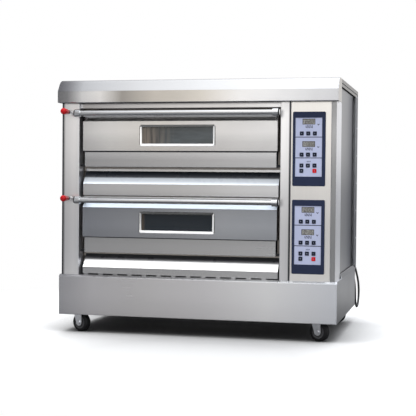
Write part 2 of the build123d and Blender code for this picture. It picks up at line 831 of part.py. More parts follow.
# ---------------------------------------------------------------- supply lead
gland_end = rear + 29
with BuildPart() as gland:
    with BuildSketch(Plane.XY.offset(gland_spot[1])):
        with BuildLine():
            Polyline(
                (gland_spot[0], rear - 12),
                (gland_spot[0] + gland_thread_radius - 0.05, rear - 12),
                (gland_spot[0] + gland_thread_radius - 0.05, rear + 4),
                (gland_spot[0] + 11, rear + 8),
                (gland_spot[0] + 11, rear + 18),
                (gland_spot[0] + 7.5, gland_end),
                (gland_spot[0], gland_end),
                close=True,
            )
        make_face()
    revolve(axis=Axis((gland_spot[0], rear, gland_spot[1]), (0, 1, 0)))
    with BuildSketch(Plane.XZ.offset(-rear - 8)):
        with Locations(gland_spot):
            RegularPolygon(13.5, 6)
    extrude(amount=8)

# the peg on the rear panel that the lead is hung over
peg_spot = (546, 306)
peg_radius = 24
peg_length = 34
with BuildPart() as peg:
    with BuildSketch(Plane.XZ.offset(-rear - peg_length)):
        with Locations(peg_spot):
            Circle(peg_radius)
            Circle(peg_radius - 3, mode=Mode.SUBTRACT)
    extrude(amount=peg_length)
    for y in (rear, rear + peg_length):
        with BuildSketch(Plane.XZ.offset(-y - 3)):
            with Locations(peg_spot):
                Circle(peg_radius + 8)
                Circle(4, mode=Mode.SUBTRACT)
        extrude(amount=3)
save_group([gland.part, peg.part], "cable_gland")

# from the gland down in a loop beside the cabinet's rear corner, up over the peg and down to
# the coil on the floor
loop_low = 63.5
over_peg = peg_spot[1] + peg_radius + cord_radius + 0.5
lead_route = [
    (632, gland_end, 330),
    (634, rear + 74, 326),
    (641, rear + 112, 300),
    (652, rear + 134, 254),
    (664, rear + 143, 198),
    (668, rear + 145, 148),
    (667, rear + 141, 99),
    (666, rear + 105, loop_low),
    (664, rear + 55, loop_low),
    (662, rear + 19, 99),
    (661, rear + 16, 150),
    (657, rear + 16, 206),
    (644, rear + 17, 258),
    (616, rear + 18, 304),
    (572, rear + 20, over_peg),
    (519, rear + 20, over_peg),
    (480, rear + 22, 300),
    (465, rear + 26, 246),
    (462, rear + 36, 186),
    (462, rear + 54, 128),
    (464, rear + 86, 76),
    (467, rear + 128, 34),
    (468, rear + 178, cord_radius + 3),
    (coil_centre[0] + coil_turn_radius + cord_radius, coil_centre[1], cord_radius),
]
plug_axis_height = 29
plug_back = coil_centre[1] - 110
tail_x = coil_centre[0] - coil_turn_radius
tail_route = [
    (tail_x, coil_centre[1], 2.7 * cord_radius),
    (tail_x, coil_centre[1] - 40, 3.1 * cord_radius),
    (tail_x - 2, coil_centre[1] - 76, plug_axis_height - 4),
    (tail_x - 2, plug_back, plug_axis_height),
]


def cord_tube(name, route):
    """A round cord along straight runs joined by arcs as large as the runs allow."""
    corners = [Vector(*point) for point in route]
    radii = []
    for before, corner, after in zip(corners, corners[1:], corners[2:]):
        run_in, run_out = corner - before, after - corner
        half_turn = radians(run_in.get_angle(run_out)) / 2
        radii.append(0.45 * min(run_in.length, run_out.length) / tan(half_turn))
    with BuildPart() as tube:
        with BuildLine():
            path = FilletPolyline(*corners, radius=radii)
        with BuildSketch(Plane(origin=path @ 0, z_dir=path % 0)):
            Circle(cord_radius)
        sweep()
    length = path.length
    print(name, "length", round(length), "radii", [round(radius) for radius in radii])
    print(name, "volume over section times length", tube.part.volume / (pi * cord_radius**2 * length))
    return tube.part


save_group([cord_tube("lead", lead_route), cord_tube("tail", tail_route)], "power_cord")

with BuildPart() as cord_coil:
    with BuildSketch(Plane.XZ.offset(-coil_centre[1])):
        with Locations((coil_centre[0] + coil_turn_radius, 1.9 * cord_radius)):
            RectangleRounded(4.2 * cord_radius, 3.8 * cord_radius, cord_radius - 0.5)
    revolve(axis=Axis((coil_centre[0], coil_centre[1], 0), (0, 0, 1)))
save(cord_coil.part, "cord_coil")

plug_length = 128
pin_circle = 14
pin_radius = 2.5
with BuildPart() as plug:
    plug_x = tail_x - 2
    with BuildSketch(Plane.XY.offset(plug_axis_height)):
        with BuildLine():
            Polyline(
                (plug_x, plug_back),
                (plug_x + 9, plug_back),
                (plug_x + 13, plug_back - 12),
                (plug_x + 13, plug_back - 24),
                (plug_x + 20, plug_back - 30),
                (plug_x + 23, plug_back - 78),
                (plug_x + 29, plug_back - 84),
                (plug_x + 29, plug_back - plug_length),
                (plug_x + 25.5, plug_back - plug_length),
                (plug_x + 25.5, plug_back - 90),
                (plug_x, plug_back - 90),
                close=True,
            )
        make_face()
    revolve(axis=Axis((plug_x, plug_back, plug_axis_height), (0, 1, 0)))
    with BuildSketch(Plane.XZ.offset(-plug_back + plug_length - 6)):
        with Locations((plug_x, plug_axis_height)):
            with PolarLocations(pin_circle, 5):
                Circle(pin_radius)
    extrude(amount=-(plug_length - 6 - 89))
save(plug.part, "plug")
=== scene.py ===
"""Looks of a two-deck electric bakery oven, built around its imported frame.

Metres, in the row frame: +X right as seen from the front, +Y towards the back, +Z up.
"""

import json
from math import cos, pi, radians, sin

import bmesh
import bpy
from mathutils import Matrix, Vector


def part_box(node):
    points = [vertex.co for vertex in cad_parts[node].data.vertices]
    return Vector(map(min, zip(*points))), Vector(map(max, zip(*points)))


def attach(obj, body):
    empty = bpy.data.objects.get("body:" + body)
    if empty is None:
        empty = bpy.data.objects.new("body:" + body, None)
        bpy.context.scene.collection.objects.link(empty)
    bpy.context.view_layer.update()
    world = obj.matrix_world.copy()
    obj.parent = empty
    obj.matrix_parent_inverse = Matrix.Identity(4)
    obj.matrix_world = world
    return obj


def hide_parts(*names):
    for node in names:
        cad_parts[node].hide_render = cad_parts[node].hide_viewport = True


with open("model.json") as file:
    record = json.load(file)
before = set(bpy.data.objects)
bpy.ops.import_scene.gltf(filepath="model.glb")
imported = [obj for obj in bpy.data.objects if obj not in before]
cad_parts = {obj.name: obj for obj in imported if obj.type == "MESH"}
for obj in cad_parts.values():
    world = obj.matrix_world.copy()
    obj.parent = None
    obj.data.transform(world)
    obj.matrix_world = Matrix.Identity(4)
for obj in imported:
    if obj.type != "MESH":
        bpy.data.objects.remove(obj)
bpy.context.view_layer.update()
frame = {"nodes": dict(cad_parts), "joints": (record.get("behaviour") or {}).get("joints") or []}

scene = bpy.context.scene
joints = {joint["name"]: joint for joint in frame["joints"]}
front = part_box("base_skirt")[0].y
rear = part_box("rear_panel")[1].y
decks = ("upper", "lower")


# ======== camera
CAMERA_SPOT = (1.2235, front - 4.8547, 0.7321)
CAMERA_YAW = 0.2342  # radians to the left of +Y
CAMERA_DIP = 0.0259  # radians below the horizon
CAMERA_ROLL = 0.0089
SENSOR = 36
LENS = 93.5


def make_camera():
    """A long lens at standing height, to the right of the oven."""
    ahead = Vector((-sin(CAMERA_YAW), cos(CAMERA_YAW), 0))
    right = Vector((cos(CAMERA_YAW), sin(CAMERA_YAW), 0))
    up = Vector((0, 0, 1))
    look = ahead * cos(CAMERA_DIP) - up * sin(CAMERA_DIP)
    up = up * cos(CAMERA_DIP) + ahead * sin(CAMERA_DIP)
    rolled_right = right * cos(CAMERA_ROLL) + up * sin(CAMERA_ROLL)
    rolled_up = up * cos(CAMERA_ROLL) - right * sin(CAMERA_ROLL)
    data = bpy.data.cameras.new("camera")
    data.lens = LENS
    data.sensor_width = SENSOR
    camera = bpy.data.objects.new("camera", data)
    camera.matrix_world = Matrix.Translation(CAMERA_SPOT) @ Matrix(
        (rolled_right, rolled_up, -look)
    ).transposed().to_4x4()
    scene.collection.objects.link(camera)
    scene.camera = camera


make_camera()


# ======== shader helpers
def node(tree, kind, inputs=None, **settings):
    """A new shader node. An input is a value or the socket that feeds it."""
    made = tree.nodes.new("ShaderNode" + kind)
    for key, value in settings.items():
        setattr(made, key, value)
    for name, value in (inputs or {}).items():
        if isinstance(value, bpy.types.NodeSocket):
            tree.links.new(value, made.inputs[name])
        else:
            made.inputs[name].default_value = value
    return made


def noise(tree, scale, detail=3.0):
    """Noise in the piece's own coordinates, so many features to the metre along X, Y and Z."""
    place = node(tree, "TexCoord").outputs["Object"]
    stretched = node(tree, "Mapping", {"Vector": place, "Scale": scale})
    wave = {"Vector": stretched.outputs["Vector"], "Scale": 1.0, "Detail": detail, "Roughness": 0.55}
    return node(tree, "TexNoise", wave).outputs["Fac"]


def remap(tree, value, low, high, source=(0.3, 0.7)):
    """A number taken from one range to another."""
    limits = {"From Min": source[0], "From Max": source[1], "To Min": low, "To Max": high}
    return node(tree, "MapRange", {"Value": value, **limits}).outputs["Result"]


def arithmetic(tree, operation, a, b=0.0):
    """One sum of two numbers."""
    return node(tree, "Math", {0: a, 1: b}, operation=operation).outputs["Value"]


def ramp(tree, value, stops):
    """A colour ramp. A stop is its place, then either red, green and blue or one grey."""
    made = node(tree, "ValToRGB", {"Fac": value})
    elements = made.color_ramp.elements
    while len(elements) < len(stops):
        elements.new(0.5)
    for element, stop in zip(elements, stops):
        element.position = stop[0]
    for element, (place, *colour) in zip(elements, stops):
        element.color = (*(colour * 3 if len(colour) == 1 else colour), 1.0)
    return made.outputs["Color"]


def blend_colours(tree, factor, first, second, mode="MIX"):
    """Two colours mixed."""
    made = tree.nodes.new("ShaderNodeMix")
    made.data_type = "RGBA"
    made.blend_type = mode
    for index, value in ((0, factor), (6, first), (7, second)):
        if isinstance(value, bpy.types.NodeSocket):
            tree.links.new(value, made.inputs[index])
        else:
            made.inputs[index].default_value = value
    return made.outputs[2]


def principled(name, **sockets):
    """A new material with its shader, whose even values are set on its own sockets."""
    material = bpy.data.materials.new(name)
    material.use_nodes = True
    tree = material.node_tree
    shader = tree.nodes["Principled BSDF"]
    for socket, value in sockets.items():
        title = socket.replace("_", " ").title().replace("Ior", "IOR")
        shader.inputs[title].default_value = value
    return material, tree, shader


def shaded(colour, factor):
    """A colour made darker or lighter."""
    return tuple(min(1.0, channel * factor) for channel in colour)


# ======== materials
ALONG, ACROSS = 2.5, 900.0  # a brushed surface's features to the metre, along and across its grain
GRAINS = {  # those features by X, Y and Z, and the direction across the grain
    "x": ((ALONG, ACROSS, ACROSS), (0.0, 0.25, 1.0)),
    "y": ((ACROSS, ALONG, ACROSS), (1.0, 0.0, 0.25)),
    "z": ((ACROSS, ACROSS, ALONG), (1.0, 0.8, 0.0)),
}
BROAD = {ALONG: 0.3, ACROSS: 0.042}  # the broad bands are this share as many
FOLD = (0.90, 0.91, 0.93)  # a painted highlight on a fold's rounded edge


def brushed_steel(name, colour, grain="x", rough=0.3, streak=0.05, edge=0.0016):
    """Stainless sheet, brushed along one axis, with soft bands, faint smudges and rounded folds that carry a
    painted highlight.
    """
    material, tree, shader = principled(name, metallic=1.0, anisotropic=0.75)
    scale, across = GRAINS[grain]
    fine = noise(tree, scale, detail=2.0)
    broad = noise(tree, tuple(number * BROAD[number] for number in scale), detail=2.0)
    smudge = noise(tree, (5.0, 5.0, 5.0), detail=4.0)
    both = arithmetic(tree, "ADD", *(arithmetic(tree, "MULTIPLY", part, 0.5) for part in (fine, broad)))
    stops = ((0.3, *shaded(colour, 1 - streak)), (0.7, *shaded(colour, 1 + streak)))
    dull = (*shaded(colour, 0.8), 1.0)
    dulled = blend_colours(tree, remap(tree, smudge, 0.0, 0.10, (0.45, 0.8)), ramp(tree, both, stops), dull)
    uneven = remap(tree, both, rough - 0.01, rough + 0.01)
    sheen = arithmetic(tree, "ADD", uneven, remap(tree, smudge, 0.0, 0.03))
    tree.links.new(sheen, shader.inputs["Roughness"])
    folds = node(tree, "Bevel", {"Radius": edge}, samples=6).outputs["Normal"]
    flat = node(tree, "NewGeometry").outputs["Normal"]
    turn = node(tree, "VectorMath", {0: folds, 1: flat}, operation="DOT_PRODUCT").outputs["Value"]
    # painted highlight: the base colour lightens towards a pale grey where the rounded folds turn
    on_fold = remap(tree, turn, 0.85, 0.0, (0.78, 0.99))
    lightened = blend_colours(tree, on_fold, dulled, (*FOLD, 1.0))
    tree.links.new(lightened, shader.inputs["Base Color"])
    ridges = node(tree, "Bump", {"Strength": 0.012, "Distance": 0.00004, "Height": fine, "Normal": folds})
    tree.links.new(ridges.outputs["Normal"], shader.inputs["Normal"])
    tangent = node(tree, "CombineXYZ", {"X": across[0], "Y": across[1], "Z": across[2]})
    tree.links.new(tangent.outputs["Vector"], shader.inputs["Tangent"])
    return material


def graded(material, axis, span, stops):
    """Paints light, shade and reflections into a sheet's colour along one axis of the row frame, between two
    places on it.
    """
    tree = material.node_tree
    place = node(tree, "SeparateXYZ", {0: node(tree, "TexCoord").outputs["Object"]})
    tint = ramp(tree, remap(tree, place.outputs[axis], 0.0, 1.0, span), stops)
    shader = tree.nodes["Principled BSDF"]
    brushed = shader.inputs["Base Color"].links[0].from_socket
    toned = blend_colours(tree, 1.0, brushed, tint, "MULTIPLY")
    tree.links.new(toned, shader.inputs["Base Color"])
    return material


def plain_metal(name, colour, rough=0.2, wear=0.1):
    """Cast, plated or polished metal with faint unevenness."""
    material, tree, shader = principled(name, metallic=1.0)
    uneven = noise(tree, (60.0, 60.0, 60.0), detail=5.0)
    stops = ((0.3, *shaded(colour, 1 - wear)), (0.7, *colour))
    tree.links.new(ramp(tree, uneven, stops), shader.inputs["Base Color"])
    tree.links.new(remap(tree, uneven, rough * 0.8, rough * 1.3), shader.inputs["Roughness"])
    folds = node(tree, "Bevel", {"Radius": 0.0008}, samples=4).outputs["Normal"]
    dents = node(tree, "Bump", {"Strength": 0.15, "Distance": 0.0002, "Height": uneven, "Normal": folds})
    tree.links.new(dents.outputs["Normal"], shader.inputs["Normal"])
    return material


def moulded(name, colour, rough=0.4, shine=0.5, relief=0.1, variation=0.06):
    """Moulded plastic or rubber: a fine leather-like grain and a little unevenness of colour."""
    material, tree, shader = principled(name, specular_ior_level=shine)
    grain = noise(tree, (900.0,) * 3, detail=2.0)
    cloud = noise(tree, (14.0,) * 3, detail=3.0)
    stops = ((0.35, *shaded(colour, 1 - variation)), (0.65, *shaded(colour, 1 + variation)))
    tree.links.new(ramp(tree, cloud, stops), shader.inputs["Base Color"])
    tree.links.new(remap(tree, cloud, rough - 0.05, rough + 0.05), shader.inputs["Roughness"])
    folds = node(tree, "Bevel", {"Radius": 0.0006}, samples=4).outputs["Normal"]
    skin = node(tree, "Bump", {"Strength": relief, "Distance": 0.0001, "Height": grain, "Normal": folds})
    tree.links.new(skin.outputs["Normal"], shader.inputs["Normal"])
    return material


def oven_glass(name):
    """Toughened window glass, dark grey with a faint smear, and painted soft brown upright reflections
    towards its left.
    """
    material, tree, shader = principled(name, transmission_weight=0.25, ior=1.52)
    place = node(tree, "SeparateXYZ", {0: node(tree, "TexCoord").outputs["Object"]})
    bars = noise(tree, (60.0, 4.0, 5.0), detail=3.0)
    smear = noise(tree, (7.0, 7.0, 30.0), detail=4.0)
    # painted reflections: brown upright bands towards the left of the upper window, and a brown rim along the
    # lower window's left edge
    left = remap(tree, place.outputs["X"], 1.0, 0.0, (-0.25, -0.10))
    brown = ramp(tree, bars, ((0.40, 0.060, 0.052, 0.046), (0.60, 0.200, 0.165, 0.135)))
    grey = ramp(tree, smear, ((0.35, 0.046, 0.058, 0.064), (0.7, 0.082, 0.100, 0.112)))
    upper = blend_colours(tree, left, grey, brown)
    rim = remap(tree, place.outputs["X"], 1.0, 0.0, (-0.262, -0.244))
    lower = blend_colours(tree, rim, (0.018, 0.024, 0.030, 1.0), (0.11, 0.085, 0.065, 1.0))
    is_upper = remap(tree, place.outputs["Z"], 0.0, 1.0, (0.70, 0.71))
    tree.links.new(blend_colours(tree, is_upper, lower, upper), shader.inputs["Base Color"])
    tree.links.new(remap(tree, smear, 0.04, 0.12), shader.inputs["Roughness"])
    return material


def wool(name, colour):
    """Mineral wool board."""
    material, tree, shader = principled(name, roughness=0.95, sheen_weight=0.3)
    fibres = noise(tree, (180.0, 180.0, 600.0), detail=6.0)
    stops = ((0.3, *shaded(colour, 0.7)), (0.7, *colour))
    tree.links.new(ramp(tree, fibres, stops), shader.inputs["Base Color"])
    fluff = node(tree, "Bump", {"Strength": 0.6, "Distance": 0.002, "Height": fibres})
    tree.links.new(fluff.outputs["Normal"], shader.inputs["Normal"])
    return material


def display(name):
    """A liquid-crystal window: grey-olive with a faint cell pattern."""
    material, tree, shader = principled(name, roughness=0.3, specular_ior_level=0.3)
    cells = noise(tree, (260.0, 260.0, 260.0), detail=1.0)
    stops = ((0.35, 0.13, 0.13, 0.125), (0.65, 0.34, 0.335, 0.31))
    tree.links.new(ramp(tree, cells, stops), shader.inputs["Base Color"])
    return material


WARM = (0.70, 0.68, 0.65)
NEUTRAL = (0.66, 0.66, 0.665)
COOL = (0.60, 0.62, 0.66)
BEIGE = (0.74, 0.71, 0.66)
WIDTH = (-0.665, 0.665)
SIDE = (front + 0.19, rear - 0.11)
# Painted light: the tables below grade each sheet's tone by place, to paint the reflections, light and shade
# seen across it.
CANOPY_TONES = (
    (0.0, 0.40, 0.40, 0.41), (0.035, 0.44, 0.44, 0.45), (0.09, 0.98), (0.16, 1.06, 1.05, 1.04),
    (0.24, 0.50, 0.48, 0.45), (0.36, 0.80, 0.77, 0.72), (0.52, 0.86, 0.83, 0.78), (0.66, 0.93),
    (0.86, 0.77, 0.77, 0.78), (1.0, 0.72, 0.72, 0.73),
)
CANOPY_TOP_TONES = (
    (0.0, 0.40, 0.40, 0.42), (0.035, 0.55, 0.55, 0.57), (0.09, 0.98, 0.99, 1.0), (0.25, 0.97),
    (1.0, 0.93, 0.93, 0.94),
)
SKIRT_TONES = (
    (0.0, 0.58, 0.58, 0.60), (0.12, 0.78, 0.77, 0.78), (0.30, 0.84, 0.83, 0.83), (0.52, 0.90, 0.89, 0.90),
    (0.76, 1.06), (1.0, 0.84, 0.86, 0.90),
)
PANEL_TONES = (
    (0.05, 0.88, 0.87, 0.86), (0.18, 1.00, 0.99, 0.97), (0.35, 0.95, 0.92, 0.88), (0.55, 0.84, 0.83, 0.82),
    (0.72, 0.82, 0.81, 0.80), (0.82, 0.77, 0.76, 0.75),
)
LOWER_PANEL_TONES = ((0.05, 0.88, 0.89, 0.92), (0.35, 1.0), (0.60, 1.12), (0.82, 0.98, 0.99, 1.0))
fascia_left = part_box("control_fascia")[0].x
SEAM_PLACE = (fascia_left - WIDTH[0]) / (WIDTH[1] - WIDTH[0])  # between the middle post and the fascia, where a dark line of painted shade lies
# Painted light on the front frame across its width: a dark edge of painted shade on the left post, reflection
# bands, and a dark line of painted shade at the seam.
POST_TONES = (
    (0.0, 0.05, 0.05, 0.06), (0.0140, 0.08, 0.08, 0.09), (0.0170, 0.98, 0.97, 0.96), (0.05, 1.16, 1.14, 1.12),
    (0.071, 1.12, 1.11, 1.10), (0.079, 0.60, 0.59, 0.58), (0.16, 0.76, 0.74, 0.73), (0.30, 0.90, 0.87, 0.85),
    (0.60, 1.02, 0.99, 0.96), (0.78, 1.20, 1.19, 1.18), (SEAM_PLACE - 0.0046, 1.02, 1.01, 1.0),
    (SEAM_PLACE - 0.0042, 0.06, 0.06, 0.07), (SEAM_PLACE, 0.06, 0.06, 0.07), (SEAM_PLACE + 0.001, 1.1),
)
# Painted reflection on the side panels: light at the front, darker towards the back.
SIDE_TONES = ((0.0, 1.0, 0.99, 0.97), (0.45, 0.80), (0.8, 0.38, 0.39, 0.42), (1.0, 0.18, 0.19, 0.21))


def sheet(name, colour, grain, rough, *grades, edge=0.003):
    """A brushed sheet with wide folds. Each grade is an axis, a span along it and the tones there, which
    paint light, shade and reflections on the sheet.
    """
    material = brushed_steel(f"{name}_steel", colour, grain, rough=rough, streak=0.03, edge=edge)
    for axis, span, tones in grades:
        graded(material, axis, span, tones)
    return material


# Painted reflections on the sill slopes, by height: bright low down, dark at the top where the door's shade
# is mirrored.
SILL_SLOPE_TONES = (
    (0.0, 0.72), (0.10, 0.52), (0.22, 0.38), (0.46, 0.32), (0.51, 0.11),
    (0.58, 0.036, 0.036, 0.038), (0.76, 0.012, 0.013, 0.015), (1.0, 0.003, 0.004, 0.005),
)
LOWER_SLOPE_TONES = (
    (0.0, 1.0), (0.60, 1.0), (0.68, 0.36, 0.36, 0.37), (0.76, 0.13, 0.13, 0.135),
    (0.88, 0.07, 0.07, 0.078), (1.0, 0.035, 0.035, 0.04),
)
SKIRT = (0.085, 0.276)  # heights, from here on
POSTS = (0.27, 1.07)
SILL_FRONT = (0.655, 0.710)
SILL_SLOPE = (0.710, 0.770)
LOWER_SLOPE = (0.312, 0.362)
UPPER_PANEL = (0.866, 1.006)
LOWER_PANEL = (0.458, 0.598)
UPPER_FLANGE = (0.791, 0.866)
LOWER_FLANGE = (0.383, 0.458)
# Several steels below are lighter or darker copies of one stainless sheet, set by where faces sit and which
# way they look: painted light and shade.
materials = {
    # The skirt: painted reflections along its width, and a painted highlight along its top ledge.
    "skirt": sheet("skirt", shaded(NEUTRAL, 1.08), "x", 0.24, ("X", WIDTH, SKIRT_TONES),
        ("Z", SKIRT, ((0.0, 1.04), (0.5, 1.0), (0.93, 0.96), (0.95, 1.12), (1.0, 1.12))), edge=0.004),
    "canopy": sheet("canopy", shaded(NEUTRAL, 1.12), "x", 0.15, ("X", WIDTH, CANOPY_TONES), edge=0.004),
    # The canopy's upward faces: a copy of its steel with painted light of their own, dark at the left end and
    # bright across the rest.
    "canopy_top": sheet("canopy_top", shaded(NEUTRAL, 1.03), "x", 0.15,
        ("X", WIDTH, CANOPY_TOP_TONES), edge=0.004),
    # The canopy's ends: a beige copy of the steel, a painted warm reflection.
    "canopy_end": sheet("canopy_end", shaded(BEIGE, 1.0), "z", 0.3, edge=0.002),
    # The front frame: painted light, darker low down, lighter higher up and a little darker at the very top.
    "frame": sheet("frame", shaded(NEUTRAL, 1.26), "z", 0.28, ("X", WIDTH, POST_TONES),
        ("Z", POSTS, ((0.0, 0.74), (0.35, 0.86), (0.75, 1.04), (0.95, 1.04), (1.0, 0.90)))),
    # The corner post's front: a darker copy of the steel, painted shade, with a painted highlight band high
    # up.
    "corner": sheet("corner", shaded(NEUTRAL, 0.52), "z", 0.30,
        ("Z", POSTS, ((0.0, 0.90), (0.6, 1.0), (0.85, 1.25), (1.0, 0.95)))),
    # The corner post's outer side: a much lighter copy of the steel, a painted highlight.
    "corner_side": sheet("corner_side", shaded(NEUTRAL, 1.48), "z", 0.30,
        ("Z", POSTS, ((0.0, 0.90), (0.7, 1.0), (1.0, 1.1)))),
    "fascia": sheet("fascia", shaded(WARM, 1.18), "z", 0.28),
    "side": sheet("side", (0.44, 0.44, 0.44), "z", 0.30, ("Y", SIDE, SIDE_TONES), edge=0.0016),
    # The skirt's sides: a much darker copy of the skirt steel, painted shade.
    "skirt_side": sheet("skirt_side", shaded(NEUTRAL, 0.20), "y", 0.30, edge=0.002),
    "rear": sheet("rear", shaded(COOL, 0.95), "z", 0.34),
    # The rear panel's sideways faces: a darker copy of the rear steel, painted shade.
    "wrap": sheet("wrap", shaded(COOL, 0.28), "z", 0.34),
    "roof": sheet("roof", shaded(NEUTRAL, 0.62), "x", 0.34),
    # The roof's ends: a beige copy of the roof steel, a painted warm reflection.
    "roof_end": sheet("roof_end", shaded(BEIGE, 0.50), "z", 0.30, edge=0.002),
    # The sill fronts: painted shade, darker towards the lower edge of the upper sill's front, and darker
    # still below it.
    "sill": sheet("sill", NEUTRAL, "x", 0.18,
        ("Z", SILL_FRONT, ((0.0, 0.62), (0.02, 0.84), (0.6, 0.92), (1.0, 0.92)))),
    # The sill slopes: pale moulded stand-ins for the steel, carrying painted reflections graded by height.
    "sill_slope": graded(
        moulded("sill_slope", (0.86, 0.92, 1.0), rough=0.30, shine=0.3, relief=0.01, variation=0.01),
        "Z", SILL_SLOPE, SILL_SLOPE_TONES,
    ),
    "lower_slope": graded(
        moulded("lower_slope", (1.0, 1.0, 1.0), rough=0.30, relief=0.01, variation=0.005),
        "Z", LOWER_SLOPE, LOWER_SLOPE_TONES,
    ),
    # The door panels: painted reflection bands by place; the lower panel is a darker copy, painted shade.
    "panel_upper": sheet("upper_panel", shaded(NEUTRAL, 1.26), "x", 0.20, ("X", WIDTH, PANEL_TONES),
        ("Z", UPPER_PANEL, ((0.0, 0.80), (0.30, 0.86), (0.65, 1.04), (1.0, 1.0)))),
    "panel_lower": sheet("lower_panel", shaded(COOL, 0.50), "x", 0.24, ("X", WIDTH, LOWER_PANEL_TONES),
        ("Z", LOWER_PANEL, ((0.0, 0.90), (0.4, 1.06), (0.75, 1.0), (1.0, 0.92)))),
    "lit_fold": moulded("lit_fold", (0.72, 0.80, 0.90), rough=0.4, relief=0.02, variation=0.02),
    # The door frames: the lower door is a darker copy, painted shade; the upper flange lightens and the lower
    # flange darkens towards its top, painted light.
    "door_upper": sheet("upper_door", shaded(NEUTRAL, 0.80), "x", 0.24,
        ("Z", UPPER_FLANGE, ((0.0, 0.88), (0.4, 0.90), (0.8, 1.12), (1.0, 1.20)))),
    "door_lower": sheet("lower_door", shaded(NEUTRAL, 0.58), "x", 0.24,
        ("Z", LOWER_FLANGE, ((0.0, 1.05), (0.6, 1.0), (1.0, 0.92)))),
    # The strip behind the handles: a lighter copy of the door steel, painted light.
    "strip": sheet("strip", shaded(NEUTRAL, 1.0), "x", 0.26),
    # Near black standing for shade on undersides, the doors' edges, the handles' ends, the lower sill's lip
    # and the seam strips: painted shade.
    "under": moulded("folded_edge_shadow", (0.008, 0.009, 0.011), rough=0.7),
    # The front frame's faces in the gaps round the doors: a darker copy of the frame steel, painted shade in
    # the recesses.
    "gap": sheet("gap", (0.52, 0.53, 0.56), "z", 0.34, edge=0.0008),
    "chamber": brushed_steel("chamber_steel", (0.36, 0.33, 0.30), "y", rough=0.42, streak=0.12),
    "chrome": plain_metal("handle_chrome", (0.74, 0.75, 0.76), rough=0.12, wear=0.04),
    # The handles' lower sides: a darker copy of the chrome, painted shade.
    "chrome_low": plain_metal("handle_chrome_low", (0.36, 0.365, 0.375), rough=0.16, wear=0.06),
    "trim": plain_metal("trim_steel", (0.82, 0.81, 0.79), rough=0.16, wear=0.05),
    "trim_white": moulded("trim_mirror_white", (0.98, 0.98, 0.97), rough=0.25, relief=0.01, variation=0.01),
    "trim_grey": plain_metal("trim_mirror_grey", (0.30, 0.30, 0.29), rough=0.2, wear=0.05),
    "trim_dark": plain_metal("trim_mirror_dark", (0.07, 0.07, 0.072), rough=0.25, wear=0.05),
    "zinc": plain_metal("caster_zinc", (0.80, 0.81, 0.83), rough=0.30, wear=0.18),
    "heater": plain_metal("heater_sheath", (0.22, 0.19, 0.17), rough=0.5, wear=0.3),
    "chassis": moulded("chassis_paint", (0.030, 0.031, 0.034), rough=0.5, relief=0.3),
    "glass": oven_glass("window_glass"),
    "wool": wool("mineral_wool", (0.12, 0.11, 0.10)),
    "navy": moulded("bezel_navy", (0.014, 0.021, 0.052), rough=0.50, shine=0.22),
    "key": moulded("key_navy", (0.008, 0.012, 0.026), rough=0.5, shine=0.2),
    "key_red": moulded("key_red", (0.56, 0.002, 0.004), rough=0.5, shine=0.15),
    "face": moulded("face_lilac", (0.42, 0.455, 0.615), rough=0.55, shine=0.3, variation=0.03),
    "display": display("display_window"),
    "ink": moulded("printed_ink", (0.020, 0.022, 0.040), rough=0.5, shine=0.2),
    "pale_ink": moulded("printed_pale_ink", (0.20, 0.22, 0.28), rough=0.5, shine=0.2),
    "digit": moulded("display_digits", (0.050, 0.044, 0.036), rough=0.5, shine=0.2),
    "red": moulded("damper_red", (0.38, 0.006, 0.009), rough=0.36, shine=0.2, relief=0.03),
    "black": moulded("black_plastic", (0.014, 0.014, 0.016), rough=0.5, relief=0.3),
    "tyre": moulded("caster_rubber", (0.009, 0.009, 0.010), rough=0.62, shine=0.25, relief=0.4,
        variation=0.2),
    "hub": moulded("caster_hub", (0.07, 0.07, 0.074), rough=0.45, shine=0.3),
    "cord": moulded("cord_rubber", (0.018, 0.018, 0.020), rough=0.48, relief=0.25),
    "plug": moulded("plug_red", (0.48, 0.014, 0.014), rough=0.4),
}


def dress(cad_node, base, **parts):
    """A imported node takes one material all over, then others on the faces that pass their tests."""
    data = frame["nodes"][cad_node].data
    data.materials.clear()
    data.materials.append(materials[base])
    for polygon in data.polygons:
        polygon.material_index = 0
    for index, (key, test) in enumerate(parts.items(), 1):
        data.materials.append(materials[key])
        for polygon in data.polygons:
            if test(polygon.center, polygon.normal):
                polygon.material_index = index


# ======== mesh helpers
def mesh_piece(name, body, key, mesh, smooth=False, place=None):
    """A piece from a bmesh: it rides on a body, and takes a material."""
    data = bpy.data.meshes.new(name)
    bmesh.ops.recalc_face_normals(mesh, faces=mesh.faces)
    mesh.to_mesh(data)
    mesh.free()
    if place is not None:
        data.transform(place)
    for polygon in data.polygons:
        polygon.use_smooth = smooth
    data.materials.append(materials[key])
    piece = bpy.data.objects.new(name, data)
    scene.collection.objects.link(piece)
    if smooth:
        split = piece.modifiers.new("smooth by angle", "EDGE_SPLIT")
        split.split_angle = radians(40)
    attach(piece, body)
    return piece


def add_box(mesh, low, high, bevel=0.0):
    """A box between two corners, its edges rounded."""
    low, high = Vector(low), Vector(high)
    middle = Matrix.Translation((low + high) / 2) @ Matrix.Diagonal((*(high - low), 1))
    made = bmesh.ops.create_cube(mesh, size=1.0, matrix=middle)["verts"]
    if bevel:
        edges = list({edge for vert in made for edge in vert.link_edges})
        bmesh.ops.bevel(mesh, geom=edges, offset=bevel, segments=2, affect="EDGES", profile=0.5)


